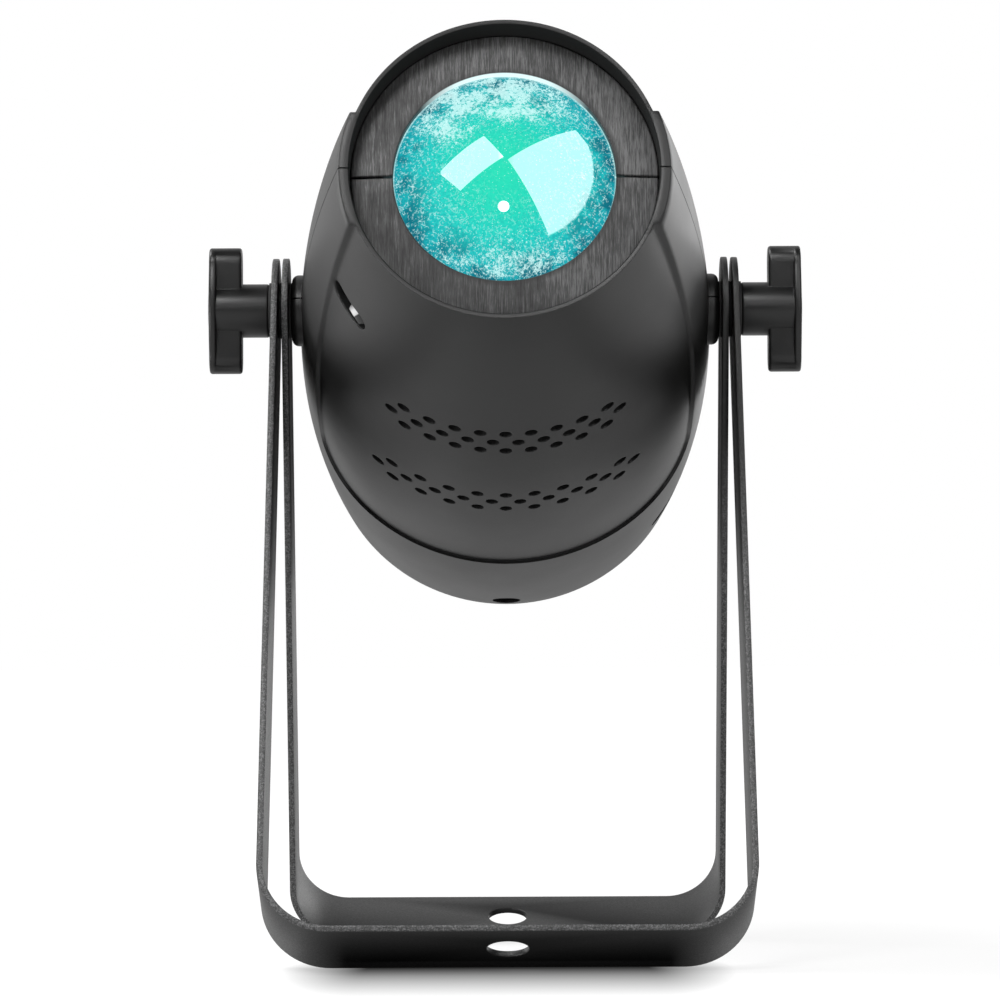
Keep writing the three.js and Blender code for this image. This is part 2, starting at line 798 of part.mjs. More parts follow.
// Mains supply: board with a wound coil, two cans and a row of terminals
function powerBoard() {
  const low = -frameHalfHeight + frameSheet + seatGap;
  const top = low + boardThickness;
  const front = trayFront - supplySetback;
  const back = front - supplyLength;
  const board = headBlock(supplyHalfWidth, back, front, low, top);
  const coilReach = front - supplyLength / 2;
  const coil = headBlock(coilSize / 2, coilReach - coilSize / 2, coilReach + coilSize / 2, low, top + coilHeight);
  const cans = [-1, 1].map((side) => barAlongZ(
    canDiameter / 2, low, top + canHeight, side * (coilSize / 2 + canDiameter), -coilReach, 12,
  ));
  const terminals = headBlock(coilSize / 2, back, back + canDiameter / 2, low, top + canDiameter / 2);
  return join([board, coil, ...cans, terminals]);
}

function buttonPlaces() {
  return Array.from({ length: buttonCount }, (_, i) => (i - (buttonCount - 1) / 2) * buttonPitch);
}

// Control board with its switches, on pillars behind the rear panel
function controlBoard() {
  const pillarEnd = rearPanelBack + seatGap;
  const back = rearPanelBack + controlDepth;
  const front = back + boardThickness;
  const board = headBlock(controlHalfWidth, back, front, controlLow, controlHigh);
  const switchEnd = rearPanelBack + seatGap + buttonFlangeThickness + buttonTravel + seatGap;
  const switches = buttonPlaces().map((x) => headBlock(
    switchSize / 2, switchEnd, front, buttonHeight - switchSize / 2, buttonHeight + switchSize / 2, x,
  ));
  const pillars = [-1, 1].flatMap((side) => [controlLow + fanStrut / 2, controlHigh - fanStrut].map((height) => barAlongAxis(
    fanStrut / 2, pillarEnd, front, side * (controlHalfWidth - fanStrut / 2), height, 8,
  )));
  const display = headBlock(
    windowHalfWidth - windowFlange, rearPanelBack + windowThickness, front,
    windowHeight - windowHalfHeight + windowFlange, windowHeight + windowHalfHeight - windowFlange,
  );
  return join([board, ...switches, ...pillars, display]);
}

function rearPanel() {
  const from = rearPanelFace - overrun;
  const to = rearPanelBack + overrun;
  const plate = barAlongAxis(rearPanelRadius, rearPanelFace, rearPanelBack, 0, 0, 32);
  const holes = [
    headBlock(windowHalfWidth + boreGap, from, to,
      windowHeight - windowHalfHeight - boreGap, windowHeight + windowHalfHeight + boreGap),
    ...buttonPlaces().map((x) => barAlongAxis(buttonDiameter / 2 + boreGap, from, to, x, buttonHeight, 10)),
    ...[-1, 1].map((side) => barAlongAxis(socketBody / 2 + boreGap, from, to, side * socketSide, -socketDrop, 16)),
    headBlock(inletBodyHalfWidth + boreGap, from, to,
      -inletDrop - inletBodyHalfHeight - boreGap, -inletDrop + inletBodyHalfHeight + boreGap),
  ];
  return cut(plate, holes);
}

// Display window: a clear plate in the panel's cut-out, with a flange behind it
function displayWindow() {
  const clear = headBlock(windowHalfWidth, rearPanelFace, rearPanelBack + seatGap + windowFlange / 2,
    windowHeight - windowHalfHeight, windowHeight + windowHalfHeight);
  const flange = headBlock(windowHalfWidth + windowFlange, rearPanelBack + seatGap,
    rearPanelBack + seatGap + windowFlange,
    windowHeight - windowHalfHeight - windowFlange, windowHeight + windowHalfHeight + windowFlange);
  return clear.add(flange);
}

function menuButton(x) {
  const inner = rearPanelBack + seatGap;
  const cap = barAlongAxis(buttonDiameter / 2, rearPanelFace - buttonProud, inner + buttonFlangeThickness, x, buttonHeight, 12);
  const flange = barAlongAxis(buttonFlange / 2, inner, inner + buttonFlangeThickness, x, buttonHeight, 12);
  return cap.add(flange);
}

// Round three-pin data socket: a cup with pins, or a core with holes
function dataSocket(side, withPins) {
  const x = side * socketSide;
  const flangeBack = rearPanelFace - seatGap;
  const flangeFace = flangeBack - socketFlange;
  const inner = flangeFace + socketDepth;
  const bar = (radius, from, to, dx, dz, sides) => barAlongAxis(radius, from, to, x + dx, dz - socketDrop, sides);
  const shell = join([
    bar(socketDiameter / 2, flangeFace, flangeBack, 0, 0, 20),
    bar(socketBody / 2, flangeFace, inner, 0, 0, 16),
  ]);
  const cup = bar(socketCup, flangeFace - overrun, flangeFace + socketCupDepth, 0, 0, 16);
  const places = Array.from({ length: socketPinCount }, (_, i) => {
    const turn = i * Math.PI / 2;
    return [socketPinCircle * Math.cos(turn), socketPinCircle * Math.sin(turn)];
  });
  const floor = flangeFace + socketCupDepth + socketPin;
  if (withPins) {
    const pins = places.map(([dx, dz]) => bar(socketPin, flangeFace + contactSink, floor, dx, dz, 6));
    return join([shell.subtract(cup), ...pins]);
  }
  const core = bar(socketCore, flangeFace + socketPin, floor, 0, 0, 12);
  const holes = places.map(([dx, dz]) => bar(socketPin, flangeFace - overrun, floor - overrun, dx, dz, 6));
  return cut(shell.subtract(cup).add(core), holes);
}

// Mains inlet: a flange, a body and a recess with three blades
function powerInlet() {
  const flangeBack = rearPanelFace - seatGap;
  const flangeFace = flangeBack - inletFlange;
  const box = (halfWidth, halfHeight, from, to, dx = 0, dz = 0) => headBlock(
    halfWidth, from, to, -inletDrop + dz - halfHeight, -inletDrop + dz + halfHeight, dx,
  );
  const inner = flangeFace + inletDepth;
  const floor = flangeFace + inletMouthDepth;
  const shell = join([
    box(inletHalfWidth, inletHalfHeight, flangeFace, flangeBack),
    box(inletBodyHalfWidth, inletBodyHalfHeight, flangeFace, inner),
  ]);
  const mouth = box(inletMouthHalfWidth, inletMouthHalfHeight, flangeFace - overrun, floor);
  const blades = [-1, 0, 1].map((i) => box(
    inletBladeThickness / 2, inletBladeWidth / 2, flangeFace + contactSink, floor + inletBladeThickness,
    i * inletBladePitch, i === 0 ? inletBladeWidth / 2 : -inletBladeWidth / 2,
  ));
  return join([shell.subtract(mouth), ...blades]);
}

// Safety eye: a bent round bar that stands on the rear panel
function safetyEye() {
  const start = rearPanelFace - seatGap;
  const tip = start - eyeReach;
  const path = new THREE.CurvePath();
  const at = (x, reach) => new THREE.Vector3(x, -reach, -socketDrop);
  const left = -eyeHalfWidth;
  const right = eyeHalfWidth;
  const bend = tip + eyeBend;
  path.add(new THREE.LineCurve3(at(left, start), at(left, bend)));
  path.add(new THREE.QuadraticBezierCurve3(at(left, bend), at(left, tip), at(left + eyeBend, tip)));
  path.add(new THREE.LineCurve3(at(left + eyeBend, tip), at(right - eyeBend, tip)));
  path.add(new THREE.QuadraticBezierCurve3(at(right - eyeBend, tip), at(right, tip), at(right, bend)));
  path.add(new THREE.LineCurve3(at(right, bend), at(right, start)));
  const section = new THREE.Shape();
  section.absarc(0, 0, eyeBar / 2, 0, tau, false);
  return solid(new THREE.ExtrudeGeometry(section, { steps: 12, extrudePath: path, bevelEnabled: false, curveSegments: 4 }));
}

function panelScrew(turn) {
  const back = rearPanelFace - seatGap;
  const x = panelScrewRadius * Math.cos(turn);
  const height = panelScrewRadius * Math.sin(turn);
  const head = barAlongAxis(panelScrewHead / 2, back - panelScrewHeight, back, x, height, 10);
  const slot = headBlock(panelScrewHead / 10, back - 2 * panelScrewHeight, back - panelScrewHeight / 2,
    height - panelScrewHead / 3, height + panelScrewHead / 3, x);
  const cross = headBlock(panelScrewHead / 3, back - 2 * panelScrewHeight, back - panelScrewHeight / 2,
    height - panelScrewHead / 10, height + panelScrewHead / 10, x);
  return cut(head, [slot, cross]);
}

// Clamp knob: a T bar with a waisted plate outside, a round stem and a blind hole for the stud
function knobStemFace() {
  return bracketFace + nestingGap;
}

function clampKnob(side) {
  const stemStart = knobStemFace();
  const barStart = stemStart + knobStemLength;
  const outer = barStart + knobBarThickness;
  const plateStart = outer - knobPlateThickness;
  const span = (from, to) => [Math.min(side * from, side * to), Math.max(side * from, side * to)];
  const barShape = (length, width) => {
    const half = width / 2;
    const shape = new THREE.Shape();
    const straight = length / 2 - half;
    shape.absarc(0, straight, half, 0, Math.PI, false);
    shape.absarc(0, -straight, half, Math.PI, tau, false);
    return shape;
  };
  const acrossX = (shape, from, to) => {
    const [low, high] = span(from, to);
    const slab = new THREE.ExtrudeGeometry(shape, { depth: high - low, bevelEnabled: false, curveSegments: 4 });
    const basis = new THREE.Matrix4();
    basis.makeBasis(new THREE.Vector3(0, 1, 0), new THREE.Vector3(0, 0, 1), new THREE.Vector3(1, 0, 0));
    slab.applyMatrix4(basis);
    slab.translate(low, 0, 0);
    return solid(slab);
  };
  const waist = new THREE.Shape();
  const tip = knobBarLength / 2 - knobPlateWidth / 2;
  waist.absarc(0, tip, knobPlateWidth / 2, 0, Math.PI, false);
  waist.quadraticCurveTo(-knobWaist / 2, 0, -knobPlateWidth / 2, -tip);
  waist.absarc(0, -tip, knobPlateWidth / 2, Math.PI, tau, false);
  waist.quadraticCurveTo(knobWaist / 2, 0, knobPlateWidth / 2, tip);
  const body = join([
    acrossX(barShape(knobBarLength, knobBarWidth), barStart, outer),
    acrossX(waist, plateStart, outer),
    barAlongX(knobStemDiameter / 2, side * stemStart, side * (outer + knobPlateThickness / 3), 0, 0, 20),
  ]);
  const hole = barAlongX(studDiameter / 2 + boreGap, side * (stemStart - overrun), side * (barStart + studCap + boreGap), 0, 0, 12);
  return body.subtract(hole);
}

function stud(side) {
  const outer = knobStemFace() + knobStemLength + studCap;
  return barAlongX(studDiameter / 2, side * studReach, side * outer, 0, 0, 12);
}

function washer(from, to, side) {
  const ring = barAlongX(washerDiameter / 2, side * (from + turnGap), side * (to - turnGap), 0, 0, 16);
  return ring.subtract(barAlongX(studHole / 2, side * (from - overrun), side * (to + overrun), 0, 0, 10));
}

// The lamp head, along -Y before it is tilted
function buildHead() {
  const group = new THREE.Group();
  const lower = halfShell();
  group.add(piece('lower_shell', lower, 'satinBlack'));
  const upper = piece('upper_shell', lower, 'satinBlack');
  upper.rotation.y = Math.PI;
  group.add(upper);
  group.add(piece('lower_bezel', bezelHalf(-1), 'brushedDark'));
  group.add(piece('upper_bezel', bezelHalf(1), 'brushedDark'));
  group.add(piece('front_lens', frontLens(), 'glass'));
  group.add(piece('lens_holder', lensHolder(), 'darkPlastic'));
  group.add(piece('inner_frame', innerFrame(), 'zinc'));
  group.add(piece('pivot_bush_left', pivotBush(-1), 'zinc'));
  group.add(piece('pivot_bush_right', pivotBush(1), 'zinc'));
  group.add(piece('heat_sink', heatSink(), 'aluminium'));
  group.add(piece('led_board', ledBoard(), 'circuit'));
  group.add(piece('led_emitter', ledEmitter(), 'emitter'));
  group.add(piece('condenser_lens', condenserLens(), 'glass'));
  group.add(piece('condenser_holder', condenserHolder(), 'darkPlastic'));
  group.add(piece('fan_frame', fanFrame(), 'darkPlastic'));
  group.add(piece('fan_rotor', fanRotor(), 'darkPlastic'));
  group.add(piece('power_board', powerBoard(), 'circuit'));
  group.add(piece('control_board', controlBoard(), 'circuit'));
  group.add(piece('rear_panel', rearPanel(), 'powderCoat'));
  group.add(piece('display_window', displayWindow(), 'window'));
  const buttonNames = ['button_menu', 'button_down', 'button_up', 'button_enter'];
  buttonPlaces().forEach((x, i) => group.add(piece(buttonNames[i], menuButton(x), 'darkPlastic')));
  group.add(piece('power_inlet', powerInlet(), 'darkPlastic'));
  group.add(piece('data_input_socket', dataSocket(-1, true), 'zinc'));
  group.add(piece('data_output_socket', dataSocket(1, false), 'zinc'));
  group.add(piece('safety_eye', safetyEye(), 'zinc'));
  [panelScrewAngle, 180 - panelScrewAngle, 180 + panelScrewAngle, 360 - panelScrewAngle].forEach((turn, i) => {
    group.add(piece(`panel_screw_${i + 1}`, panelScrew(turn * degree), 'zinc'));
  });
  group.rotation.x = -headTilt * degree;
  return group;
}

// Brackets, knobs, studs and washers round the pivot
function buildStand() {
  const group = new THREE.Group();
  const front = piece('front_bracket', bracket(bracketWidth, bracketDrop, bendRadius), 'powderCoat');
  front.rotation.x = -frontSplay * degree;
  const rear = piece('rear_bracket', bracket(rearWidth, rearDrop, rearBend), 'powderCoat');
  rear.rotation.x = rearSplay * degree;
  group.add(front, rear);
  for (const [word, side] of [['left', -1], ['right', 1]]) {
    group.add(piece(`inner_washer_${word}`, washer(bossFace, rearFace - barThickness, side), 'rubber'));
    group.add(piece(`middle_washer_${word}`, washer(rearFace, bracketFace - barThickness, side), 'rubber'));
    group.add(piece(`outer_washer_${word}`, washer(bracketFace, knobStemFace(), side), 'rubber'));
    group.add(piece(`knob_${word}`, clampKnob(side), 'knobBlack'));
    group.add(piece(`stud_${word}`, stud(side), 'zinc'));
  }
  return group;
}

const lamp = new THREE.Group();
lamp.add(buildStand(), buildHead());
lamp.position.z = pivotHeight;
lamp.updateMatrixWorld(true);
const extent = new THREE.Box3().setFromObject(lamp, true);
lamp.position.y = -(extent.min.y + extent.max.y) / 2;
lamp.updateMatrixWorld(true);

export default lamp;
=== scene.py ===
import json
import math

import bpy
from mathutils import Matrix, Vector


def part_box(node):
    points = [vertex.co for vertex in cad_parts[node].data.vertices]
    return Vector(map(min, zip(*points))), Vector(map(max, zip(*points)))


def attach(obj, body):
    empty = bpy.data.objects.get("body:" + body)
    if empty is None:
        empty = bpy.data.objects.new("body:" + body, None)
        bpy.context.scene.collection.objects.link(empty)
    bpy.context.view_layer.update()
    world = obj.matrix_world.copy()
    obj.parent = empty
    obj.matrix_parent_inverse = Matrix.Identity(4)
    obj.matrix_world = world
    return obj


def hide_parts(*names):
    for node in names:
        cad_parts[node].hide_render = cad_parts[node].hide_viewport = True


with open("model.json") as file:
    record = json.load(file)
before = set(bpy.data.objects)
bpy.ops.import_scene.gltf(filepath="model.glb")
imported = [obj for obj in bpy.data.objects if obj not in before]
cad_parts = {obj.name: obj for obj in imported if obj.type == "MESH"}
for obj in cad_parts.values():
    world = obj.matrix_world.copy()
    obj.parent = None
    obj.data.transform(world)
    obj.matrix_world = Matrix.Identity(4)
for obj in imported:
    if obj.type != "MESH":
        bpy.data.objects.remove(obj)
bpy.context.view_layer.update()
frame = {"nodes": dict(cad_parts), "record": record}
nodes = frame["nodes"]
print("frame loaded:", len(nodes), "nodes")

mm = 0.001
turn = 2 * math.pi
weld = 0.00001     # points closer than this, in metres, become one
noiseRange = (0.3, 0.7)     # where nearly all of a noise lies
blueTrace = 1.01
white, black = (1, 1, 1), (0, 0, 0)

# the pivot is the middle of the left stud, seen from the side
studLow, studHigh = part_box("stud_left")
pivot = Vector((0, (studLow.y + studHigh.y) / 2, (studLow.z + studHigh.z) / 2))

stance = {
    "headTilt": math.radians(16.5),
    "frontSplay": math.radians(24.06),
    "rearSplay": math.radians(21.45),
}


# modelling steps: selecting, drawing, pressing out, turning, cutting
def clearSelection():
    if bpy.context.object and bpy.context.object.mode != "OBJECT":
        bpy.ops.object.mode_set(mode="OBJECT")
    bpy.ops.object.select_all(action="DESELECT")


def takeUp(piece):
    clearSelection()
    piece.select_set(True)
    bpy.context.view_layer.objects.active = piece


def openMesh(piece):
    takeUp(piece)
    bpy.ops.object.mode_set(mode="EDIT")
    bpy.ops.mesh.select_mode(type="VERT")
    bpy.ops.mesh.select_all(action="SELECT")


def closeMesh():
    bpy.ops.object.mode_set(mode="OBJECT")


# a line of vertices through points in millimetres, drawn by extruding one vertex
def drawLine(name, points):
    clearSelection()
    spots = [Vector(p) * mm for p in points]
    bpy.ops.mesh.primitive_plane_add(size=mm, location=spots[0])
    line = bpy.context.object
    line.name = line.data.name = name
    bpy.ops.object.mode_set(mode="EDIT")
    bpy.ops.mesh.select_all(action="SELECT")
    bpy.ops.mesh.merge(type="CENTER")
    for here, there in zip(spots, spots[1:]):
        bpy.ops.mesh.extrude_region_move(TRANSFORM_OT_translate={"value": there - here})
    return line


def tidyMesh():
    bpy.ops.mesh.select_all(action="SELECT")
    bpy.ops.mesh.remove_doubles(threshold=weld)
    bpy.ops.mesh.normals_make_consistent(inside=False)
    bpy.ops.object.mode_set(mode="OBJECT")


# a slab: an outline filled and pressed out by a vector
def pressOut(name, outline, depth):
    slab = drawLine(name, outline)
    bpy.ops.mesh.select_all(action="SELECT")
    bpy.ops.mesh.edge_face_add()
    bpy.ops.mesh.extrude_region_move(TRANSFORM_OT_translate={"value": Vector(depth) * mm})
    tidyMesh()
    return applyPlace(slab)


# a turned body about the Y axis through the start, from a closed line of (radius, reach)
def turnRing(name, profile, steps):
    ring = drawLine(name, [(r, -s, 0) for r, s in profile])
    closeMesh()
    for vertex in ring.data.vertices:
        vertex.select = vertex.index in (0, len(profile) - 1)
    bpy.ops.object.mode_set(mode="EDIT")
    bpy.ops.mesh.edge_face_add()
    bpy.ops.mesh.select_all(action="SELECT")
    bpy.ops.mesh.spin(steps=steps, angle=turn, center=(0, 0, 0), axis=(0, 1, 0), use_auto_merge=True)
    tidyMesh()
    return applyPlace(ring)


# the same from an open line whose ends lie on the axis
def turnSolid(name, profile, steps):
    body = drawLine(name, [(r, -s, 0) for r, s in profile])
    bpy.ops.mesh.select_all(action="SELECT")
    bpy.ops.mesh.spin(steps=steps, angle=turn, center=(0, 0, 0), axis=(0, 1, 0), use_auto_merge=True)
    tidyMesh()
    return applyPlace(body)


# a round bar between two points, from the cylinder primitive
def roundBar(name, radius, start, end, sides):
    clearSelection()
    a, b = Vector(start) * mm, Vector(end) * mm
    along = b - a
    bpy.ops.mesh.primitive_cylinder_add(vertices=sides, radius=radius * mm, depth=along.length, location=(a + b) / 2)
    bar = bpy.context.object
    bar.name = bar.data.name = name
    bar.rotation_mode = "QUATERNION"
    bar.rotation_quaternion = Vector((0, 0, 1)).rotation_difference(along)
    return applyPlace(bar)


def applyPlace(piece):
    takeUp(piece)
    bpy.ops.object.transform_apply(location=True, rotation=True, scale=True)
    return piece


def combine(piece, tools, operation):
    for tool in tools:
        takeUp(piece)
        step = piece.modifiers.new("combine", "BOOLEAN")
        step.operation = operation
        step.solver = "EXACT"
        step.object = tool
        bpy.ops.object.modifier_apply(modifier=step.name)
        bpy.data.objects.remove(tool)
    return piece


def joinTools(tools):
    clearSelection()
    for tool in tools:
        tool.select_set(True)
    bpy.context.view_layer.objects.active = tools[0]
    bpy.ops.object.join()
    return bpy.context.object


def softenEdges(piece, width, segments, angle=40):
    takeUp(piece)
    step = piece.modifiers.new("soften", "BEVEL")
    step.width = width * mm
    step.segments = segments
    step.limit_method = "ANGLE"
    step.angle_limit = math.radians(angle)
    step.use_clamp_overlap = True
    step.harden_normals = False
    bpy.ops.object.modifier_apply(modifier=step.name)
    return piece


def halve(piece, place, normal):
    openMesh(piece)
    bpy.ops.mesh.bisect(plane_co=Vector(place) * mm, plane_no=normal, use_fill=True, clear_outer=True)
    tidyMesh()
    return piece


def copyPiece(piece, name):
    takeUp(piece)
    bpy.ops.object.duplicate(linked=False)
    twin = bpy.context.object
    twin.name = twin.data.name = name
    return twin


def rotatePiece(piece, angle, axis):
    piece.matrix_world = Matrix.Rotation(angle, 4, axis) @ piece.matrix_world
    return applyPlace(piece)


def mirrorPiece(piece):
    piece.scale.x = -1
    applyPlace(piece)
    openMesh(piece)
    bpy.ops.mesh.normals_make_consistent(inside=False)
    closeMesh()
    return piece


# pieces are made about the pivot; the head's pieces lie along -Y and are tilted here
def seat(piece, tilt=0):
    piece.matrix_world = Matrix.Translation(pivot) @ Matrix.Rotation(tilt, 4, "X")
    return applyPlace(piece)


def finishPiece(piece, body, material, replaced=(), angle=32):
    takeUp(piece)
    bpy.ops.object.shade_smooth_by_angle(angle=math.radians(angle))
    piece.data.materials.clear()
    piece.data.materials.append(material)
    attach(piece, body)
    if replaced:
        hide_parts(*replaced)
    return piece


def finishHeadPiece(piece, material, replaced=(), angle=32):
    seat(piece, -stance["headTilt"])
    return finishPiece(piece, "lamp_head", material, replaced, angle)


def evenly(start, end, steps):
    return [start + (end - start) * i / steps for i in range(steps + 1)]


def arc(centreA, centreB, radius, start, end, steps):
    turns = [math.radians(a) for a in evenly(start, end, steps)]
    return [(centreA + radius * math.cos(a), centreB + radius * math.sin(a)) for a in turns]


# shader nodes written as sums
class Value:
    def __init__(self, recipe, socket):
        self.recipe = recipe
        self.socket = socket

    def maths(self, operation, other=0.0, turned=False):
        pair = [other, self] if turned else [self, other]
        return self.recipe.node("ShaderNodeMath", {"operation": operation}, dict(enumerate(pair)))

    def __add__(self, other):
        return self.maths("ADD", other)

    def __sub__(self, other):
        return self.maths("SUBTRACT", other)

    def __rsub__(self, other):
        return self.maths("SUBTRACT", other, True)

    def __mul__(self, other):
        return self.maths("MULTIPLY", other)

    def __truediv__(self, other):
        return self.maths("DIVIDE", other)

    def __pow__(self, other):
        return self.maths("POWER", other)

    def above(self, other):
        return self.maths("GREATER_THAN", other)

    def below(self, other):
        return self.maths("LESS_THAN", other)

    def most(self, other):
        return self.maths("MAXIMUM", other)

    def least(self, other):
        return self.maths("MINIMUM", other)


class Recipe:
    def __init__(self, name, **sockets):
        self.material = bpy.data.materials.new(name)
        self.material.use_nodes = True
        self.tree = self.material.node_tree
        self.tree.nodes.clear()
        self.output = self.tree.nodes.new("ShaderNodeOutputMaterial")
        self.shader = self.tree.nodes.new("ShaderNodeBsdfPrincipled")
        self.tree.links.new(self.shader.outputs[0], self.output.inputs["Surface"])
        self.set(**sockets)

    def set(self, **sockets):
        for name, value in sockets.items():
            self.give(self.shader.inputs[name.replace("_", " ")], value)
        return self

    def give(self, socket, value):
        if isinstance(value, Value):
            self.tree.links.new(value.socket, socket)
        elif isinstance(value, tuple) and len(value) == 3 and socket.type == "RGBA":
            socket.default_value = (*value, 1)
        else:
            socket.default_value = value

    def node(self, kind, settings=None, sockets=None, out=0):
        made = self.tree.nodes.new(kind)
        for name, value in (settings or {}).items():
            if name == "stops":
                ramp = made.color_ramp
                while len(ramp.elements) < len(value):
                    ramp.elements.new(1)
                for element, (place, colour) in zip(ramp.elements, value):
                    element.position = place
                    element.color = (*colour, 1)
            else:
                setattr(made, name, value)
        for name, value in (sockets or {}).items():
            self.give(made.inputs[name], value)
        return Value(self, made.outputs[out])

    def place(self, scale=(1, 1, 1), location=(0, 0, 0), rotation=(0, 0, 0), kind="POINT"):
        spot = self.node("ShaderNodeTexCoord", out="Object")
        return self.node("ShaderNodeMapping", {"vector_type": kind},
                         {"Vector": spot, "Scale": scale, "Location": location, "Rotation": rotation})

    # coordinates of the untilted head, in millimetres: x, reach backwards, height
    def headPlace(self):
        return self.place(scale=(mm, mm, mm), location=pivot, rotation=(-stance["headTilt"], 0, 0), kind="TEXTURE")

    def stretch(self, vector, scale):
        return self.node("ShaderNodeMapping", {}, {"Vector": vector, "Scale": scale})

    def parts(self, vector, axes="XYZ"):
        return [self.node("ShaderNodeSeparateXYZ", {}, {0: vector}, axis) for axis in axes]

    def noise(self, vector, scale, detail=3.0, rough=0.5, distortion=0.0):
        return self.node("ShaderNodeTexNoise", {}, {"Vector": vector, "Scale": scale, "Detail": detail,
                                                    "Roughness": rough, "Distortion": distortion})

    def ramp(self, factor, stops):
        return self.node("ShaderNodeValToRGB", {"stops": stops}, {"Fac": factor})

    def span(self, value, low, high, toLow=0.0, toHigh=1.0):
        return self.node("ShaderNodeMapRange", {}, {"Value": value, "From Min": low, "From Max": high,
                                                    "To Min": toLow, "To Max": toHigh})

    def mix(self, factor, first, second, blend="MIX"):
        return self.node("ShaderNodeMix", {"data_type": "RGBA", "blend_type": blend},
                         {0: factor, 6: first, 7: second}, 2)

    def mixWays(self, factor, first, second):
        return self.node("ShaderNodeMix", {"data_type": "VECTOR"}, {0: factor, 4: first, 5: second}, 1)

    def relief(self, height, strength, distance, under=None):
        sockets = {"Height": height, "Strength": strength, "Distance": distance * mm}
        if under is not None:
            sockets["Normal"] = under
        return self.node("ShaderNodeBump", {}, sockets)

    # edges that a mould or a coat of paint has rounded
    def roundEdges(self, radius):
        return self.node("ShaderNodeBevel", {"samples": 4}, {"Radius": radius * mm})


def size(value):
    return (value * value) ** 0.5


def length(first, second):
    return (first * first + second * second) ** 0.5


# finishes; the greys are near black, with a trace of blue
def greys(level):
    return (level, level, level * blueTrace)


def greyStops(stops):
    return [(at, greys(level)) for at, level in stops]


def makeKnobPlastic():
    look = Recipe("knobPlastic", IOR=1.5, Specular_IOR_Level=0.5)
    spot = look.place()
    cloud, grain = look.noise(spot, 120, 4), look.noise(spot, 2600, 3)
    look.set(Base_Color=look.mix(cloud, greys(0.005), greys(0.010)))
    look.set(Roughness=look.span(cloud, *noiseRange, 0.32, 0.42))
    look.set(Normal=look.relief(grain, 0.10, 0.06, look.roundEdges(0.5)))
    return look.material


def makeRubber():
    look = Recipe("washerRubber", IOR=1.45)
    grain = look.noise(look.place(), 1800, 3)
    look.set(Base_Color=look.mix(grain, greys(0.010), greys(0.020)))
    look.set(Roughness=look.span(grain, *noiseRange, 0.6, 0.8))
    look.set(Normal=look.relief(grain, 0.2, 0.05))
    return look.material


def makeZinc(name="zincPlate", base=0.50, rough=0.28):
    look = Recipe(name, Metallic=1.0)
    spot = look.place()
    cloud = look.noise(spot, 90, 4)
    fine = look.noise(look.stretch(spot, (60, 60, 900)), 1.0, 3)
    look.set(Base_Color=look.mix(cloud, greys(base * 0.85), greys(base * 1.1)))
    look.set(Roughness=look.span(fine, *noiseRange, rough, rough + 0.12))
    look.set(Normal=look.relief(fine, 0.08, 0.05))
    return look.material


def makeMoulded(name, dark, light, rough, grainScale=1600, relief=0.12):
    look = Recipe(name, IOR=1.5)
    spot = look.place()
    cloud = look.noise(spot, 80, 3)
    grain = look.noise(spot, grainScale, 3)
    look.set(Base_Color=look.mix(cloud, dark, light))
    look.set(Roughness=look.span(grain, *noiseRange, rough - 0.05, rough + 0.06))
    look.set(Normal=look.relief(grain, relief, 0.05, look.roundEdges(0.25)))
    return look.material


materials = {
    "knob": makeKnobPlastic(),
    "rubber": makeRubber(),
    "zinc": makeZinc(),
    "nickel": makeZinc("socketNickel", 0.42, 0.30),
    "aluminium": makeZinc("bareAluminium", 0.58, 0.34),
    "plastic": makeMoulded("blackPlastic", greys(0.014), greys(0.022), 0.5),
    "board": makeMoulded("circuitBoard", (0.004, 0.045, 0.018), (0.006, 0.070, 0.028), 0.4, 700, 0.3),
    "emitter": makeMoulded("emitterDome", (0.70, 0.52, 0.06), (0.80, 0.62, 0.10), 0.25, 900, 0.05),
    "window": makeMoulded("windowPlastic", (0.006, 0.010, 0.011), (0.010, 0.015, 0.016), 0.10, 900, 0.01),
    "button": makeMoulded("buttonPlastic", greys(0.012), greys(0.018), 0.42),
}
print("plain finishes made:", len(materials))


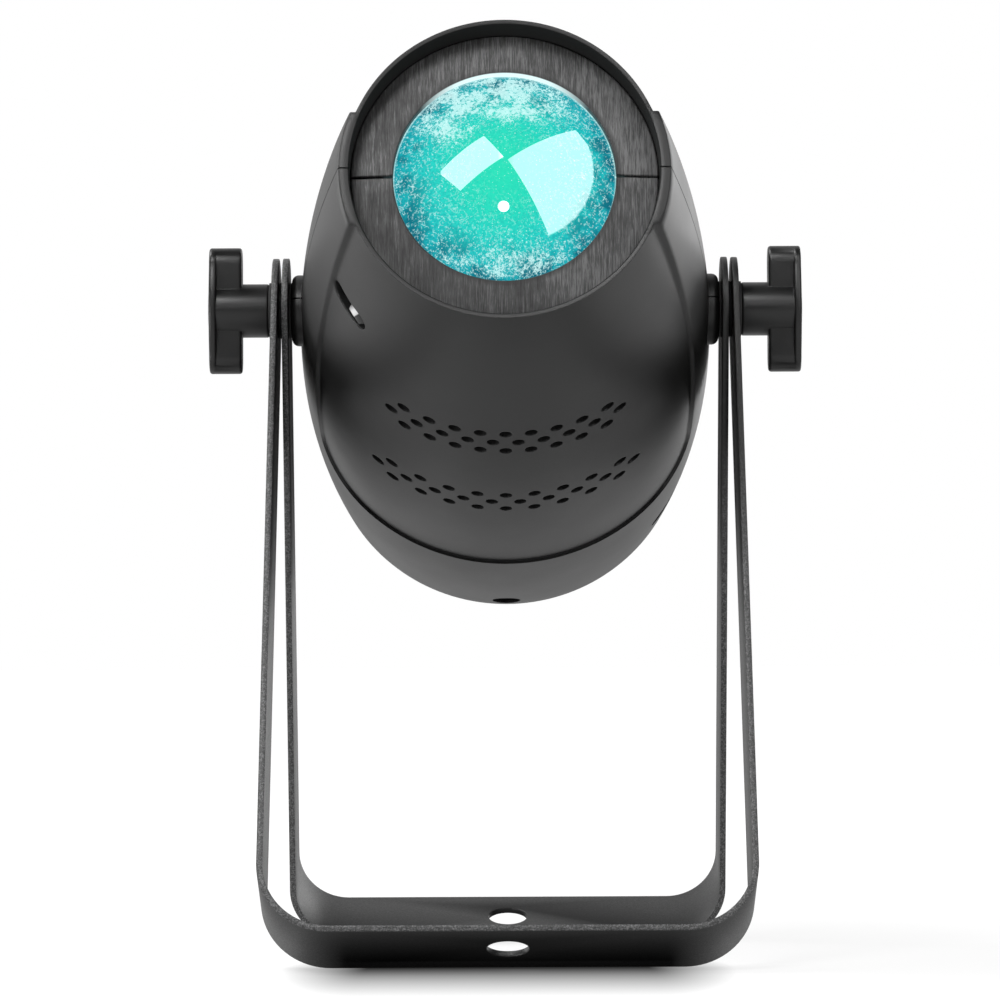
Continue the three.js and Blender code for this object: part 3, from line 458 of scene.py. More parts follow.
# the barrel housing; three radii are those at the belly, the rim and the tail
shell = {
    "rim": 121.0, "belly": 40.0, "band": 124.0,
    "raised": (67.2, 49.9, 61.2), "panel": (66.2, 48.2, 60.2),
    "tailFillet": 8.0, "wall": 2.4, "hood": 46.7, "rearOpening": 50.5, "lip": 2.4,
    "rimRound": 0.45, "roundPart": 0.3, "rearRound": 0.5,
    "ledge": 110.0, "ledgeDepth": 2.5, "ledgeRadius": 43.0,
    "panelFront": 17.6, "panelRear": 28.0, "panelEnd": 61.0, "corner": 22.0, "cornerStart": 38.0,
    "bossRoot": 60, "bossRadius": 11.5, "bossFace": 68.9, "bossEdge": 2.2, "bore": 4.3, "boreRun": 80,
    "split": 0.18, "tongueGap": 0.01, "tongueRoot": 0.8, "tongueInset": 0.6,
    "ventRadius": 2.0, "ventRows": ((45.2, 7.9, 5.8), (-1.1, 9.1, 5.7)), "ventsPerRow": 9, "ventRun": (-75, -30),
    "slot": (7.5, 18.0), "slots": ((80.5, 31.0, -1), (-101.5, 31.0, 1)), "slotRun": 24,
    "accessRadius": 4.8, "accessReach": -117.5, "accessRun": (-80, -40),
    "spare": 8, "tailSpare": 4, "smooth": 28,
    "steps": {
        "turn": 160, "outside": 56, "fillet": 8, "inside": 24, "tongue": 40, "corner": 12, "core": 60, "slot": 12,
        "boss": 72, "bossEdge": 6, "vent": 20, "hole": 40,
    },
    "look": {
        "hoodEdge": (0.6, 0.2), "hoodFrom": -105, "wallDepth": (-0.35, -0.55), "wallFrom": -116, "wallTo": 118,
        "cloud": (28, 3), "fine": (1500, 2), "skin": (5200, 2, 0.6), "relief": (0.03, 0.05),
        "dark": 0.0055, "light": 0.007, "speckled": 0.009, "speckle": 0.3,
        "rough": (0.39, 0.44), "roughSpeckle": 0.03, "paintedShadeRough": 0.97,
        "stepHeight": 17.6, "stepFrom": 129, "stepRise": 0.0623, "stepWidth": (4.0, 2.6), "stepEnd": (45, 35),
        "stepRound": 2.2, "edgeRound": 0.3,
    },
}


def barrel(reach, sizes):
    belly, rim, tail = sizes
    if reach > -shell["belly"]:
        share = (reach + shell["belly"]) / (shell["rim"] + shell["belly"])
        return belly - (belly - rim) * share * share
    share = (reach + shell["belly"]) / (shell["band"] - shell["belly"])
    return belly - (belly - tail) * share * share


# satin elsewhere; inside the hood and on the walls of the openings, painted shade makes it matt black
def makeSatinShell():
    s, t = shell, shell["look"]
    look = Recipe("satinShell", IOR=1.5, Specular_IOR_Level=0.5)
    spot = look.place()
    x, y, z = look.parts(look.headPlace())
    radius = length(x, z)
    hood = look.span(radius, *(s["hood"] + edge for edge in t["hoodEdge"])) * y.below(t["hoodFrom"])
    belly, rim, tail = s["panel"]
    squared = (y - s["belly"]) * (y - s["belly"])
    front = squared * ((belly - rim) / (s["rim"] + s["belly"]) ** 2)
    back = squared * ((belly - tail) / (s["band"] - s["belly"]) ** 2)
    skin = belly - front * y.below(s["belly"]) - back * y.above(s["belly"])
    sunk = look.span(radius - skin, *t["wallDepth"]) * y.above(t["wallFrom"]) * y.below(t["wallTo"])
    # painted shade: black and matt inside the hood and on the openings' walls, where shade falls
    paintedShade = hood.most(sunk)
    cloud, fine = look.noise(spot, *t["cloud"]), look.noise(spot, *t["fine"])
    tone = look.mix(cloud, greys(t["dark"]), greys(t["light"]))
    tone = look.mix(fine * t["speckle"], tone, greys(t["speckled"]))
    look.set(Base_Color=look.mix(paintedShade, tone, black))
    rough = look.span(cloud, *noiseRange, *t["rough"]) + (fine - 0.5) * t["roughSpeckle"]
    look.set(Roughness=rough.most(paintedShade * t["paintedShadeRough"]))
    # the step beside the sunk panel is softer than the other edges
    step = size(z) - t["stepHeight"] - (y + t["stepFrom"]) * t["stepRise"]
    soft = look.span(size(step), *t["stepWidth"]) * look.span(y, *t["stepEnd"])
    edges = look.mixWays(soft, look.roundEdges(t["edgeRound"]), look.roundEdges(t["stepRound"]))
    look.set(Normal=look.relief(look.noise(spot, *t["skin"]), *t["relief"], edges))
    return look.material


# outward, round and forward at a slot
def slotWays(angle, side):
    out = Vector((side * math.cos(math.radians(angle)), 0, -math.sin(math.radians(angle))))
    along = Vector((0, -1, 0))
    return out, along.cross(out), along


# the outline of the sunk panel seen from the side, with a curved rear corner
def panelOutline(front, deep):
    s = shell
    start, middle = (-s["cornerStart"], -s["panelRear"]), (-s["panelEnd"], -s["panelRear"])
    end = (-s["panelEnd"], -s["panelRear"] - s["corner"])
    corner = []
    for t in evenly(0, 1, s["steps"]["corner"]):
        corner.append(tuple((1 - t) ** 2 * a + 2 * t * (1 - t) * b + t * t * c for a, b, c in zip(start, middle, end)))
    return [(front, -s["panelFront"]), *corner, (-s["panelEnd"], -deep), (front, -deep)]


# vents, access hole, pivot bore and slots
def shellTools():
    s, steps = shell, shell["steps"]
    tools = []
    for reach, pitch, row in s["ventRows"]:
        for offset in (-1, 0, 1):
            count = s["ventsPerRow"] + (offset == 0)
            for i in range(count):
                x, y = (i - (count - 1) / 2) * pitch, -(reach + offset * row)
                low, high = ((x, y, z) for z in s["ventRun"])
                tools.append(roundBar("vent", s["ventRadius"], low, high, steps["vent"]))
    low, high = ((0, -s["accessReach"], z) for z in s["accessRun"])
    tools.append(roundBar("accessHole", s["accessRadius"], low, high, steps["hole"]))
    tools.append(roundBar("pivotBore", s["bore"], (-s["boreRun"], 0, 0), (s["boreRun"], 0, 0), steps["hole"]))
    width, across = s["slot"]
    half, run = width / 2, across / 2 - width / 2
    outline = arc(run, 0, half, -90, 90, steps["slot"]) + arc(-run, 0, half, 90, 270, steps["slot"])
    for reach, angle, side in s["slots"]:
        out, around, along = slotWays(angle, side)
        centre = out * (barrel(reach, s["raised"]) - s["slotRun"] / 2) + Vector((0, -reach, 0))
        tools.append(pressOut("slot", [centre + around * u + along * v for u, v in outline], out * s["slotRun"]))
    return tools


def makeShell():
    s, steps = shell, shell["steps"]
    tail = math.atan(2 * (s["raised"][0] - s["raised"][2]) / (s["band"] - s["belly"]))
    centreReach = -(s["band"] - s["tailFillet"] * math.sin(tail))
    centreRadius = s["raised"][2] - s["tailFillet"] * math.cos(tail)
    end = centreReach - s["tailFillet"]
    lip, rimOuter, soft = end + s["lip"], s["raised"][1], s["rimRound"]
    part = soft * s["roundPart"]

    def tailArc(radius):
        return [(centreRadius + radius * math.cos(a), centreReach - radius * math.sin(a))
                for a in evenly(tail, math.pi / 2, steps["fillet"])[1:]]

    outer = [(barrel(r, s["raised"]), r) for r in evenly(s["rim"] - soft, -s["band"], steps["outside"])]
    inner = [(barrel(r, s["panel"]) - s["wall"], r)
             for r in evenly(centreReach, s["ledge"] - s["ledgeDepth"], steps["inside"])]
    profile = [
        (s["hood"], s["rim"] - soft), (s["hood"] + part, s["rim"] - part), (s["hood"] + soft, s["rim"]),
        (rimOuter - soft, s["rim"]), (rimOuter - part, s["rim"] - part),
        *outer, *tailArc(s["tailFillet"]),
        (s["rearOpening"] + s["rearRound"], end), (s["rearOpening"], end + s["rearRound"]),
        (s["rearOpening"], lip), (centreRadius, lip), *inner,
        (s["ledgeRadius"], s["ledge"] - s["ledgeDepth"]), (s["ledgeRadius"], s["ledge"]), (s["hood"], s["ledge"]),
    ]
    body = turnRing("lowerHousing", profile, steps["turn"])
    for side in (-1, 1):
        root, face = (side * s["bossRoot"], 0, 0), (side * s["bossFace"], 0, 0)
        boss = roundBar("boss", s["bossRadius"], root, face, steps["boss"])
        softenEdges(boss, s["bossEdge"], segments=steps["bossEdge"])
        combine(body, [boss], "UNION")
    halve(body, (0, 0, -s["split"]), (0, 0, 1))
    # a tongue along the parting faces, so that no light passes between the halves
    inset = s["tongueInset"]
    reaches = evenly(s["rim"] - inset, centreReach, steps["tongue"])
    foot = s["rearOpening"] + s["rearRound"] + inset
    outside = [(barrel(r, s["raised"]) - inset, r) for r in reaches] + tailArc(s["tailFillet"] - inset)
    outside += [(foot, end + inset), (foot, lip - inset), (centreRadius + inset, lip - inset)]
    inside = []
    for r in reversed(reaches):
        inHood = r > s["ledge"] - s["ledgeDepth"]
        inside.append((s["hood"] + inset if inHood else barrel(r, s["panel"]) - s["wall"] + inset, r))
    for side in (-1, 1):
        tongue = pressOut("tongue", [(side * radius, -r, -s["tongueRoot"]) for radius, r in outside + inside],
                          (0, 0, s["tongueRoot"] - s["tongueGap"]))
        combine(body, [tongue], "UNION")
    # the sunk panel: its outline pressed across, less the panel's own turned core
    front, deep = s["rim"] + s["spare"], s["raised"][0] + s["spare"]
    outline = [(-deep, -reach, height) for reach, height in panelOutline(front, deep)]
    sunk = pressOut("sunkPanel", outline, (2 * deep, 0, 0))
    rear = -s["band"] - s["tailSpare"]
    core = [(0, rear), *((barrel(r, s["panel"]), r) for r in evenly(rear, front, steps["core"])), (0, front)]
    combine(sunk, [turnSolid("panelCore", core, steps["turn"])], "DIFFERENCE")
    combine(body, [sunk], "DIFFERENCE")
    print("housing half turned, split and sunk:", len(body.data.polygons), "faces")
    combine(body, [joinTools(shellTools())], "DIFFERENCE")
    print("housing half pierced:", len(body.data.polygons), "faces")
    return body


materials["shell"] = makeSatinShell()
lowerHousing = makeShell()
upperHousing = copyPiece(lowerHousing, "upperHousing")
rotatePiece(upperHousing, math.pi, "Y")
finishHeadPiece(lowerHousing, materials["shell"], ["lower_shell"], shell["smooth"])
finishHeadPiece(upperHousing, materials["shell"], ["upper_shell"], shell["smooth"])


# a piece inside the left slot that glows though it is no lamp: painted light in place of the bright glint there; its
# outline runs (round, outward) from the skin
slotGlow = {
    "outline": ((-1.2, -1.9), (-0.2, -0.5), (5.6, -0.4), (6.3, -1.8), (6.0, -3.9), (-0.6, -3.9)),
    "thickness": 0.8, "sink": 0.05, "soft": 0.15,
    "round": (0.515, 0.857), "paintedLightFrom": (-1.0, 0.9), "paintedLightTo": (3.0, 2.7), "lit": (0.50, 0.75), "dim": 0.03,
    "cloud": (400, 3), "dark": 0.03, "light": 0.05,
}


def makePaintedGlowEdge():
    e = slotGlow
    look = Recipe("paintedGlowInnerEdge", IOR=1.5, Roughness=0.4)
    x, z = look.parts(look.headPlace(), "XZ")
    cloud = look.noise(look.place(), *e["cloud"])
    along = x * e["round"][0] - z * e["round"][1]
    # painted light: an emission that makes the piece glow, brightest in a band along it
    lit = look.span(along, *e["paintedLightFrom"]) * look.span(along, *e["paintedLightTo"]) * look.span(cloud, *noiseRange, *e["lit"])
    look.set(Base_Color=look.mix(cloud, greys(e["dark"]), greys(e["light"])))
    look.set(Emission_Color=look.mix(lit + e["dim"], black, white), Emission_Strength=1.0)
    return look.material


def makeSlotGlowPiece():
    reach, angle, side = shell["slots"][0]
    out, around, along = slotWays(angle, side)
    rear = reach - shell["slot"][0] / 2 - slotGlow["sink"]
    skin = out * barrel(reach, shell["panel"]) + Vector((0, -rear, 0))
    outline = [skin + around * u + out * w for u, w in slotGlow["outline"]]
    edge = pressOut("slotPaintedGlow", outline, along * slotGlow["thickness"])
    return softenEdges(edge, slotGlow["soft"], segments=2, angle=50)


materials["litEdge"] = makePaintedGlowEdge()
finishHeadPiece(makeSlotGlowPiece(), materials["litEdge"])
print("housing finished")


# the ring and the lens in the snout; in a look, a noise is its scale, detail, roughness and distortion
bezel = {
    "bore": 33.6, "outer": 46.4, "face": 114.0, "slope": 1.0, "chamfer": 0.45, "back": 110.3, "split": 0.33,
    "soft": 0.25, "softOut": 0.4, "softBack": 0.3, "seatWidth": 1.2, "seatGap": 0.3, "edge": 0.3,
    "steps": 160, "smooth": 20,
    "look": {
        "strokes": (1.9, 0.4, 0.10), "strokeNoise": (1.0, 5, 0.7, 0.5), "strokeShare": 0.6,
        "fineStrokes": (4.2, 0.4, 0.30), "fineNoise": (1.0, 3, 0.65), "fineShare": 0.4,
        "broad": (0.055, 3, 0.6), "broadShare": 0.35, "paintedLightTilt": (0.0015, 0.0005),
        "tones": ((0.35, 0.004), (0.50, 0.032), (0.64, 0.120)), "rough": (0.35, 0.65, 0.58, 0.40),
        "relief": (0.45, 0.10), "round": 0.4, "shadeFrom": (2.0, 0.3), "shade": 0.85, "shadeTone": 0.003,
        "paintedLightFrom": (0.3, 0.1), "paintedLightHeights": (22, 31, 0.03, 1.0), "paintedLightTone": (0.80, 1.0, 1.0),
    },
}
lens = {
    "radius": 37.0, "apex": 119.6, "sphere": 68.8, "edge": 5.0, "chamfer": 0.4, "rimDrop": 0.3,
    "steps": 160, "domeSteps": 32, "smooth": 40,
    "look": {
        "glowFrom": -109.0, "outward": (0.15, 0.85),
        "tones": ((0.0, (0.024, 0.78, 0.50)), (0.38, (0.024, 0.75, 0.54)), (0.66, (0.022, 0.69, 0.60)),
                  (0.86, (0.014, 0.54, 0.55)), (1.0, (0.010, 0.37, 0.44))),
        "shadow": (0.12, 3, 0.6), "shadowLevels": (0.47, 0.60), "shadowShares": (0.62, 0.95), "shadowDepth": 0.85,
        "shadowTone": (0.003, 0.11, 0.17),
        "mottle": (1.5, 3, 0.7), "mottleLevels": (0.56, 0.38), "mottleShares": (0.1, 0.9, 0.08, 0.45),
        "mottleTone": (0.004, 0.20, 0.27),
        "crownHeights": (10, 20), "crownShares": (1.03, 0.98), "crownSides": (24, 6, 0.45, 1.0),
        "patch": (-16, 12), "patchRadii": (9, 3), "patchDepth": 0.6,
        "footHeights": (-17, -27), "footShares": (1.0, 0.93), "footDepth": 0.75,
        "clouds": (0.16, 3, 0.6), "cloudLevels": (0.36, 0.56), "cloudDepth": 0.65,
        "grains": (1.05, 6, 0.78, 0.5), "grainLevels": (0.68, 0.76), "zoneLift": 0.29, "frostTone": (0.64, 1.0, 0.98),
        "specks": ((0.95, 0.17, 0.45), (1.9, 0.22, 0.42)),     # lattice, size and share of the cells
        "speckEdge": (1.15, 0.7), "speckDensity": (0.42, 0.36), "speckZone": 0.3, "latticeDepth": 0.25,
        # scale, width, scale and level of the breaks
        "curls": ((0.80, 0.0042, 1.1, 0.52), (0.24, 0.00040, 0.5, 0.54)),
        "curlNoise": (2, 0.55), "breakDetail": 2, "breakWidth": 0.05, "curlInner": 0.3, "curlDensity": (0.42, 0.04),
        "frostPart": 0.85, "speckPart": 0.8, "palePart": 0.85, "edgeHighlightWidth": (0.5, 0.1), "edgeHighlightPart": 0.5,
        "dark": 0.004, "pale": 0.05,
        "mirror": (3.76, 1.28), "mirrorEdge": (23.25, 22.75), "mirrorSides": (-2, 3, 0.2, 1.0),
        "clearPart": 0.29, "clearGain": 2,
    },
}


def makeBrushedBezel():
    bore, b = bezel["bore"], bezel["look"]
    look = Recipe("brushedBezel", IOR=1.5, Specular_IOR_Level=0.5)
    spot = look.headPlace()
    x, y, z = look.parts(spot)
    radius = length(x, z)
    streak = look.noise(look.stretch(spot, b["strokes"]), *b["strokeNoise"])
    fine = look.noise(look.stretch(spot, b["fineStrokes"]), *b["fineNoise"])
    broad = look.noise(spot, *b["broad"])
    lines = streak * b["strokeShare"] + fine * b["fineShare"] + (broad - 0.5) * b["broadShare"]
    # painted light: the tone is tilted a little lighter towards the right and the top
    tone = look.ramp(lines + x * b["paintedLightTilt"][0] + z * b["paintedLightTilt"][1], greyStops(b["tones"]))
    shade = look.span(radius, *(bore + edge for edge in b["shadeFrom"])) * b["shade"]
    look.set(Base_Color=look.mix(shade, tone, greys(b["shadeTone"])))
    look.set(Roughness=look.span(lines, *b["rough"]))
    look.set(Normal=look.relief(lines, *b["relief"], look.roundEdges(b["round"])))
    # painted light: the wall of the bore glows, in place of the lens's light falling on it
    lit = look.span(radius, *(bore + edge for edge in b["paintedLightFrom"])) * y.below(lens["look"]["glowFrom"])
    lit = lit * look.span(z, *b["paintedLightHeights"])
    look.set(Emission_Color=look.mix(lit, black, b["paintedLightTone"]), Emission_Strength=1.0)
    return look.material


def makeLensLook():
    d = lens["look"]
    look = Recipe("lensGlow", IOR=1.5, Roughness=0.3, Specular_IOR_Level=0.0, Coat_Roughness=0.012, Coat_IOR=2.8)
    spot = look.headPlace()
    x, y, z = look.parts(spot)
    radius = length(x, z)
    share = radius / bezel["bore"]
    outward = look.span(share, *d["outward"])
    shadow = look.span(look.noise(spot, *d["shadow"]), *d["shadowLevels"]) * look.span(share, *d["shadowShares"])
    deep = look.mix(shadow * d["shadowDepth"], look.ramp(share, d["tones"]), d["shadowTone"])
    mottle = look.span(look.noise(spot, *d["mottle"]), *d["mottleLevels"]) * look.span(share, *d["mottleShares"])
    deep = look.mix(mottle, deep, d["mottleTone"])
    # frost: thick under the top edge, loose at the foot and beside it
    crown = look.span(z, *d["crownHeights"]) * look.span(share, *d["crownShares"]) * look.span(x, *d["crownSides"])
    patch = look.span(length(x - d["patch"][0], z - d["patch"][1]), *d["patchRadii"]) * d["patchDepth"]
    foot = look.span(z, *d["footHeights"]) * look.span(share, *d["footShares"]) * d["footDepth"]
    clouds = look.span(look.noise(spot, *d["clouds"]), *d["cloudLevels"])
    zone = ((crown + foot) * (clouds * d["cloudDepth"] + (1 - d["cloudDepth"])) + patch).least(1.0)
    frost = look.span(look.noise(spot, *d["grains"]) + zone * d["zoneLift"], *d["grainLevels"])
    # specks: random cells of a fine lattice carry a bright point
    rise, base = d["speckDensity"]
    specks = 0.0
    for scale, wide, part in d["specks"]:
        lattice = look.stretch(spot, (scale, scale * d["latticeDepth"], scale))
        cells = {"Vector": lattice, "Scale": 1.0}
        far, luck = (look.node("ShaderNodeTexVoronoi", {}, cells, out) for out in ("Distance", "Color"))
        chance = look.node("ShaderNodeSeparateColor", {}, {0: luck}, 0)
        density = (outward * rise + base) * part + zone * d["speckZone"]
        specks = look.span(far, *(wide * edge for edge in d["speckEdge"])) * chance.below(density) + specks
    # curls and hairs: thin lines where a noise crosses its middle, broken by another
    curls = 0.0
    for scale, wide, breaks, low in d["curls"]:
        level = look.noise(spot, scale, *d["curlNoise"]) - 0.5
        line = look.span(level * level, wide, wide * d["curlInner"])
        broken = look.noise(spot, breaks, d["breakDetail"])
        curls = line * look.span(broken, low, low + d["breakWidth"]) + curls
    rise, base = d["curlDensity"]
    pale = (frost * d["frostPart"] + specks * d["speckPart"] + curls * (outward * rise + base)).least(1.0)
    # painted highlight: a pale line along the lens's edge
    rim = look.span(radius, *(bezel["bore"] - edge for edge in d["edgeHighlightWidth"])) * d["edgeHighlightPart"]
    glow = look.mix((pale * d["palePart"] + rim).least(1.0), deep, d["frostTone"])
    # the clear middle of the dome mirrors the softboxes
    clear = look.span(length(x - d["mirror"][0], z - d["mirror"][1]), *d["mirrorEdge"])
    clear = clear * look.span(x, *d["mirrorSides"])
    bright = look.mix(1.0, glow, (d["clearGain"],) * 3, "MULTIPLY")
    glow = look.mix(clear * d["clearPart"], glow, bright)
    look.set(Emission_Color=look.mix(y.below(d["glowFrom"]), black, glow), Emission_Strength=1.0)
    look.set(Base_Color=look.mix(pale, greys(d["dark"]), greys(d["pale"])))
    look.set(Coat_Weight=clear)
    return look.material


def domeReach(radius):
    return lens["apex"] - lens["sphere"] + math.sqrt(lens["sphere"] ** 2 - radius ** 2)


def makeBezel():
    b = bezel
    front, soft = b["face"] - b["slope"], b["soft"]
    corner, seatRadius = b["outer"] - b["chamfer"], b["bore"] + b["seatWidth"]
    profile = [
        (b["bore"], b["face"] - soft), (b["bore"] + soft, b["face"]),
        (corner - soft, front), (corner + soft * b["softOut"], front - soft * b["softBack"]),
        (b["outer"], front - b["chamfer"]), (b["outer"], b["back"]), (lens["radius"], b["back"]),
        (seatRadius, domeReach(seatRadius) + b["seatGap"]), (b["bore"], domeReach(b["bore"]) + b["seatGap"]),
    ]
    ring = turnRing("lowerBezelRing", profile, b["steps"])
    twin = copyPiece(ring, "upperBezelRing")
    halve(ring, (0, 0, -b["split"]), (0, 0, 1))
    halve(twin, (0, 0, b["split"]), (0, 0, -1))
    return [softenEdges(half, b["edge"], segments=2, angle=60) for half in (ring, twin)]


def makeLens():
    d = lens
    rim, edge = domeReach(d["radius"]), d["radius"] - d["chamfer"]
    back = rim - d["edge"]
    profile = [(0, back), (edge, back), (d["radius"], back + d["chamfer"]), (d["radius"], rim - d["rimDrop"])]
    top = math.asin(d["radius"] / d["sphere"])
    for i in range(1, d["domeSteps"] + 1):
        angle = top * (1 - i / d["domeSteps"])
        profile.append((d["sphere"] * math.sin(angle), d["apex"] - d["sphere"] * (1 - math.cos(angle))))
    return turnSolid("domedLens", profile, d["steps"])


materials["bezel"], materials["lens"] = makeBrushedBezel(), makeLensLook()
lowerRing, upperRing = makeBezel()
finishHeadPiece(lowerRing, materials["bezel"], ["lower_bezel"], bezel["smooth"])
finishHeadPiece(upperRing, materials["bezel"], ["upper_bezel"], bezel["smooth"])
finishHeadPiece(makeLens(), materials["lens"], ["front_lens"], lens["smooth"])
print("ring and lens made")


# the two brackets, bent from flat bar
bar = {
    "width": 32.0, "thickness": 2.0, "flare": 0.0055, "hole": 6.5, "bore": 4.3, "edge": 0.28, "crown": 0.95,
    "spare": 9, "besideSpare": 12, "bendSteps": 20, "topSteps": 48, "boreSteps": 48, "holeSteps": 64, "smooth": 40,
    "front": {"span": 150.1, "drop": 220.15, "bend": 22.0}, "rear": {"span": 143.5, "drop": 216.7, "bend": 18.7},
    "look": {
        "grain": (1700, 4, 0.65), "broad": (45, 2), "coarse": (2.1, 3, 0.75),
        "tones": ((0.30, 0.006), (0.55, 0.011), (0.78, 0.020)), "broadTone": 0.012, "broadPart": 0.4,
        "cutTones": ((0.34, 0.006), (0.50, 0.042), (0.64, 0.150)), "cutBand": (15.4, 15.75),
        "upperRightShadeHeights": (0.118, 0.165), "upperRightShadeBeyond": 0.06, "upperRightShadePart": 0.9, "upperRightShadeTone": 0.008,
        "rough": (0.50, 0.36), "relief": (0.30, 0.14), "round": 0.3,
    },
}


# smooth on the faces, rough and grey along the sheared edges of the flat bar, with painted shade darkening those edges
# at the upper right
def makePowderCoat(name, splay):
    b = bar["look"]
    look = Recipe(name, IOR=1.5, Specular_IOR_Level=0.5)
    spot = look.place()
    inBar = look.place(scale=(mm, mm, mm), location=pivot, rotation=(splay, 0, 0), kind="TEXTURE")
    y, z = look.parts(inBar, "YZ")
    inner, outer = b["cutBand"]
    cut = look.span((y * y).most((y * y + z * z) * z.above(0)), inner ** 2, outer ** 2)
    grain, broad = look.noise(spot, *b["grain"]), look.noise(spot, *b["broad"])
    coarse = look.noise(inBar, *b["coarse"])
    tone, sheared = look.ramp(grain, greyStops(b["tones"])), look.ramp(coarse, greyStops(b["cutTones"]))
    side, up = look.parts(spot, "XZ")
    # painted shade: the sheared edges are made darker at the upper right
    upperRightShade = look.span(up, *b["upperRightShadeHeights"]) * side.above(b["upperRightShadeBeyond"])
    sheared = look.mix(upperRightShade * b["upperRightShadePart"], sheared, greys(b["upperRightShadeTone"]))
    tone = look.mix(broad * b["broadPart"], tone, greys(b["broadTone"]))
    look.set(Base_Color=look.mix(cut, tone, sheared))
    look.set(Roughness=look.span(grain, *noiseRange, *b["rough"]))
    look.set(Normal=look.relief(look.mix(cut, grain, coarse), *b["relief"], look.roundEdges(b["round"])))
    return look.material


def makeBracket(name, span, drop, bend):
    t, lean, steps = bar["thickness"], math.atan(bar["flare"]), bar["bendSteps"]
    tilt = math.degrees(lean)
    half = bar["width"] / 2
    centreX = span / 2 + bar["flare"] * (drop - bend) - bend / math.cos(lean)
    centreZ = bend - drop
    topX, topInner = span / 2 - bar["flare"] * half, t / math.cos(lean)
    top = half + bar["crown"]
    outline = [(-topX, top)]
    outline += arc(-centreX, centreZ, bend, 180 - tilt, 270, steps)
    outline += arc(centreX, centreZ, bend, -90, tilt, steps)
    outline += [(topX, top), (topX - topInner, top)]
    outline += arc(centreX, centreZ, bend - t, tilt, -90, steps)
    outline += arc(-centreX, centreZ, bend - t, 270, 180 - tilt, steps)
    outline.append((-topX + topInner, top))
    strip = pressOut(name, [(x, -half, z) for x, z in outline], (0, bar["width"], 0))
    low, high = -drop - bar["spare"], -drop + bar["spare"]
    side = [(-half, low), (half, low), *arc(0, bar["crown"], half, 0, 180, bar["topSteps"])]
    reach = span / 2 + bar["besideSpare"]
    keep = pressOut("keep", [(-reach, y, z) for y, z in side], (2 * reach, 0, 0))
    combine(strip, [keep], "INTERSECT")
    holes = [roundBar("bore", bar["bore"], (-reach, 0, 0), (reach, 0, 0), bar["boreSteps"]),
             roundBar("fixing", bar["hole"], (0, 0, low), (0, 0, high), bar["holeSteps"])]
    combine(strip, holes, "DIFFERENCE")
    return softenEdges(strip, bar["edge"], segments=2, angle=60)


materials["frontCoat"] = makePowderCoat("frontPowderCoat", -stance["frontSplay"])
materials["rearCoat"] = makePowderCoat("rearPowderCoat", stance["rearSplay"])
frontBar = seat(makeBracket("frontFlatBar", **bar["front"]), -stance["frontSplay"])
finishPiece(frontBar, "front_stand", materials["frontCoat"], ["front_bracket"], bar["smooth"])
rearBar = seat(makeBracket("rearFlatBar", **bar["rear"]), stance["rearSplay"])
finishPiece(rearBar, "rear_stand", materials["rearCoat"], ["rear_bracket"], bar["smooth"])
print("brackets bent")


# knobs and washers on the pivot
knob = {
    "stemRadius": 8.65, "stemStart": 76.35, "stemEnd": 85.05, "outer": 95.55,
    "barLength": 40.8, "barWidth": 11.0, "barInset": 0.6, "plateThickness": 2.4, "plateWidth": 12.0, "waist": 23.8,
    "proud": 0.12, "stemInset": 0.02, "bore": 4.3, "boreEnd": 89.3, "boreSpare": 5,
    "barEdge": 0.9, "plateEdge": 0.8, "stemEdge": 0.6,
    "tipSteps": 20, "waistSteps": 20, "stemSteps": 72, "boreSteps": 32, "smooth": 36,
}
washers = {
    # the body it rides on, then its inner and outer face
    "inner": ("lamp_head", 69.0, 69.65),
    "middle": ("front_stand", 71.85, 72.95),
    "outer": ("front_stand", 75.15, 76.25),
    "radius": 9.0, "bore": 4.3, "boreSpare": 5, "edge": 0.15, "steps": 64, "boreSteps": 32, "smooth": 36,
}


def makeKnob():
    k = knob
    half, wide = k["barWidth"] / 2, k["plateWidth"] / 2
    tip, end = k["barLength"] / 2 - half, k["barLength"] / 2 - wide
    wing = arc(0, tip, half, 0, 180, k["tipSteps"]) + arc(0, -tip, half, 180, 360, k["tipSteps"])
    run = k["outer"] - k["stemEnd"] - k["barInset"]
    grip = pressOut("rightKnob", [(k["stemEnd"], y, z) for y, z in wing], (run, 0, 0))
    softenEdges(grip, k["barEdge"], segments=4, angle=50)
    # the plate: round tips, and sides that bulge to the waist
    outline = []
    for way, start in ((-1, 0), (1, 180)):
        outline += arc(0, -way * end, wide, start, start + 180, k["tipSteps"])
        for i in range(1, k["waistSteps"]):
            t = i / k["waistSteps"]
            bulge = wide * ((1 - t) ** 2 + t * t) + 2 * t * (1 - t) * k["waist"] / 2
            outline.append((way * bulge, -way * end * (1 - 2 * t)))
    thick = k["plateThickness"]
    plate = pressOut("plate", [(k["outer"] - thick, y, z) for y, z in outline], (thick, 0, 0))
    softenEdges(plate, k["plateEdge"], segments=4, angle=50)
    stemTop = k["outer"] + k["proud"] - k["stemInset"]
    stem = roundBar("stem", k["stemRadius"], (k["stemStart"], 0, 0), (stemTop, 0, 0), k["stemSteps"])
    softenEdges(stem, k["stemEdge"], segments=4, angle=50)
    combine(grip, [plate, stem], "UNION")
    start = k["stemStart"] - k["boreSpare"]
    hole = roundBar("hole", k["bore"], (start, 0, 0), (k["boreEnd"], 0, 0), k["boreSteps"])
    return combine(grip, [hole], "DIFFERENCE")


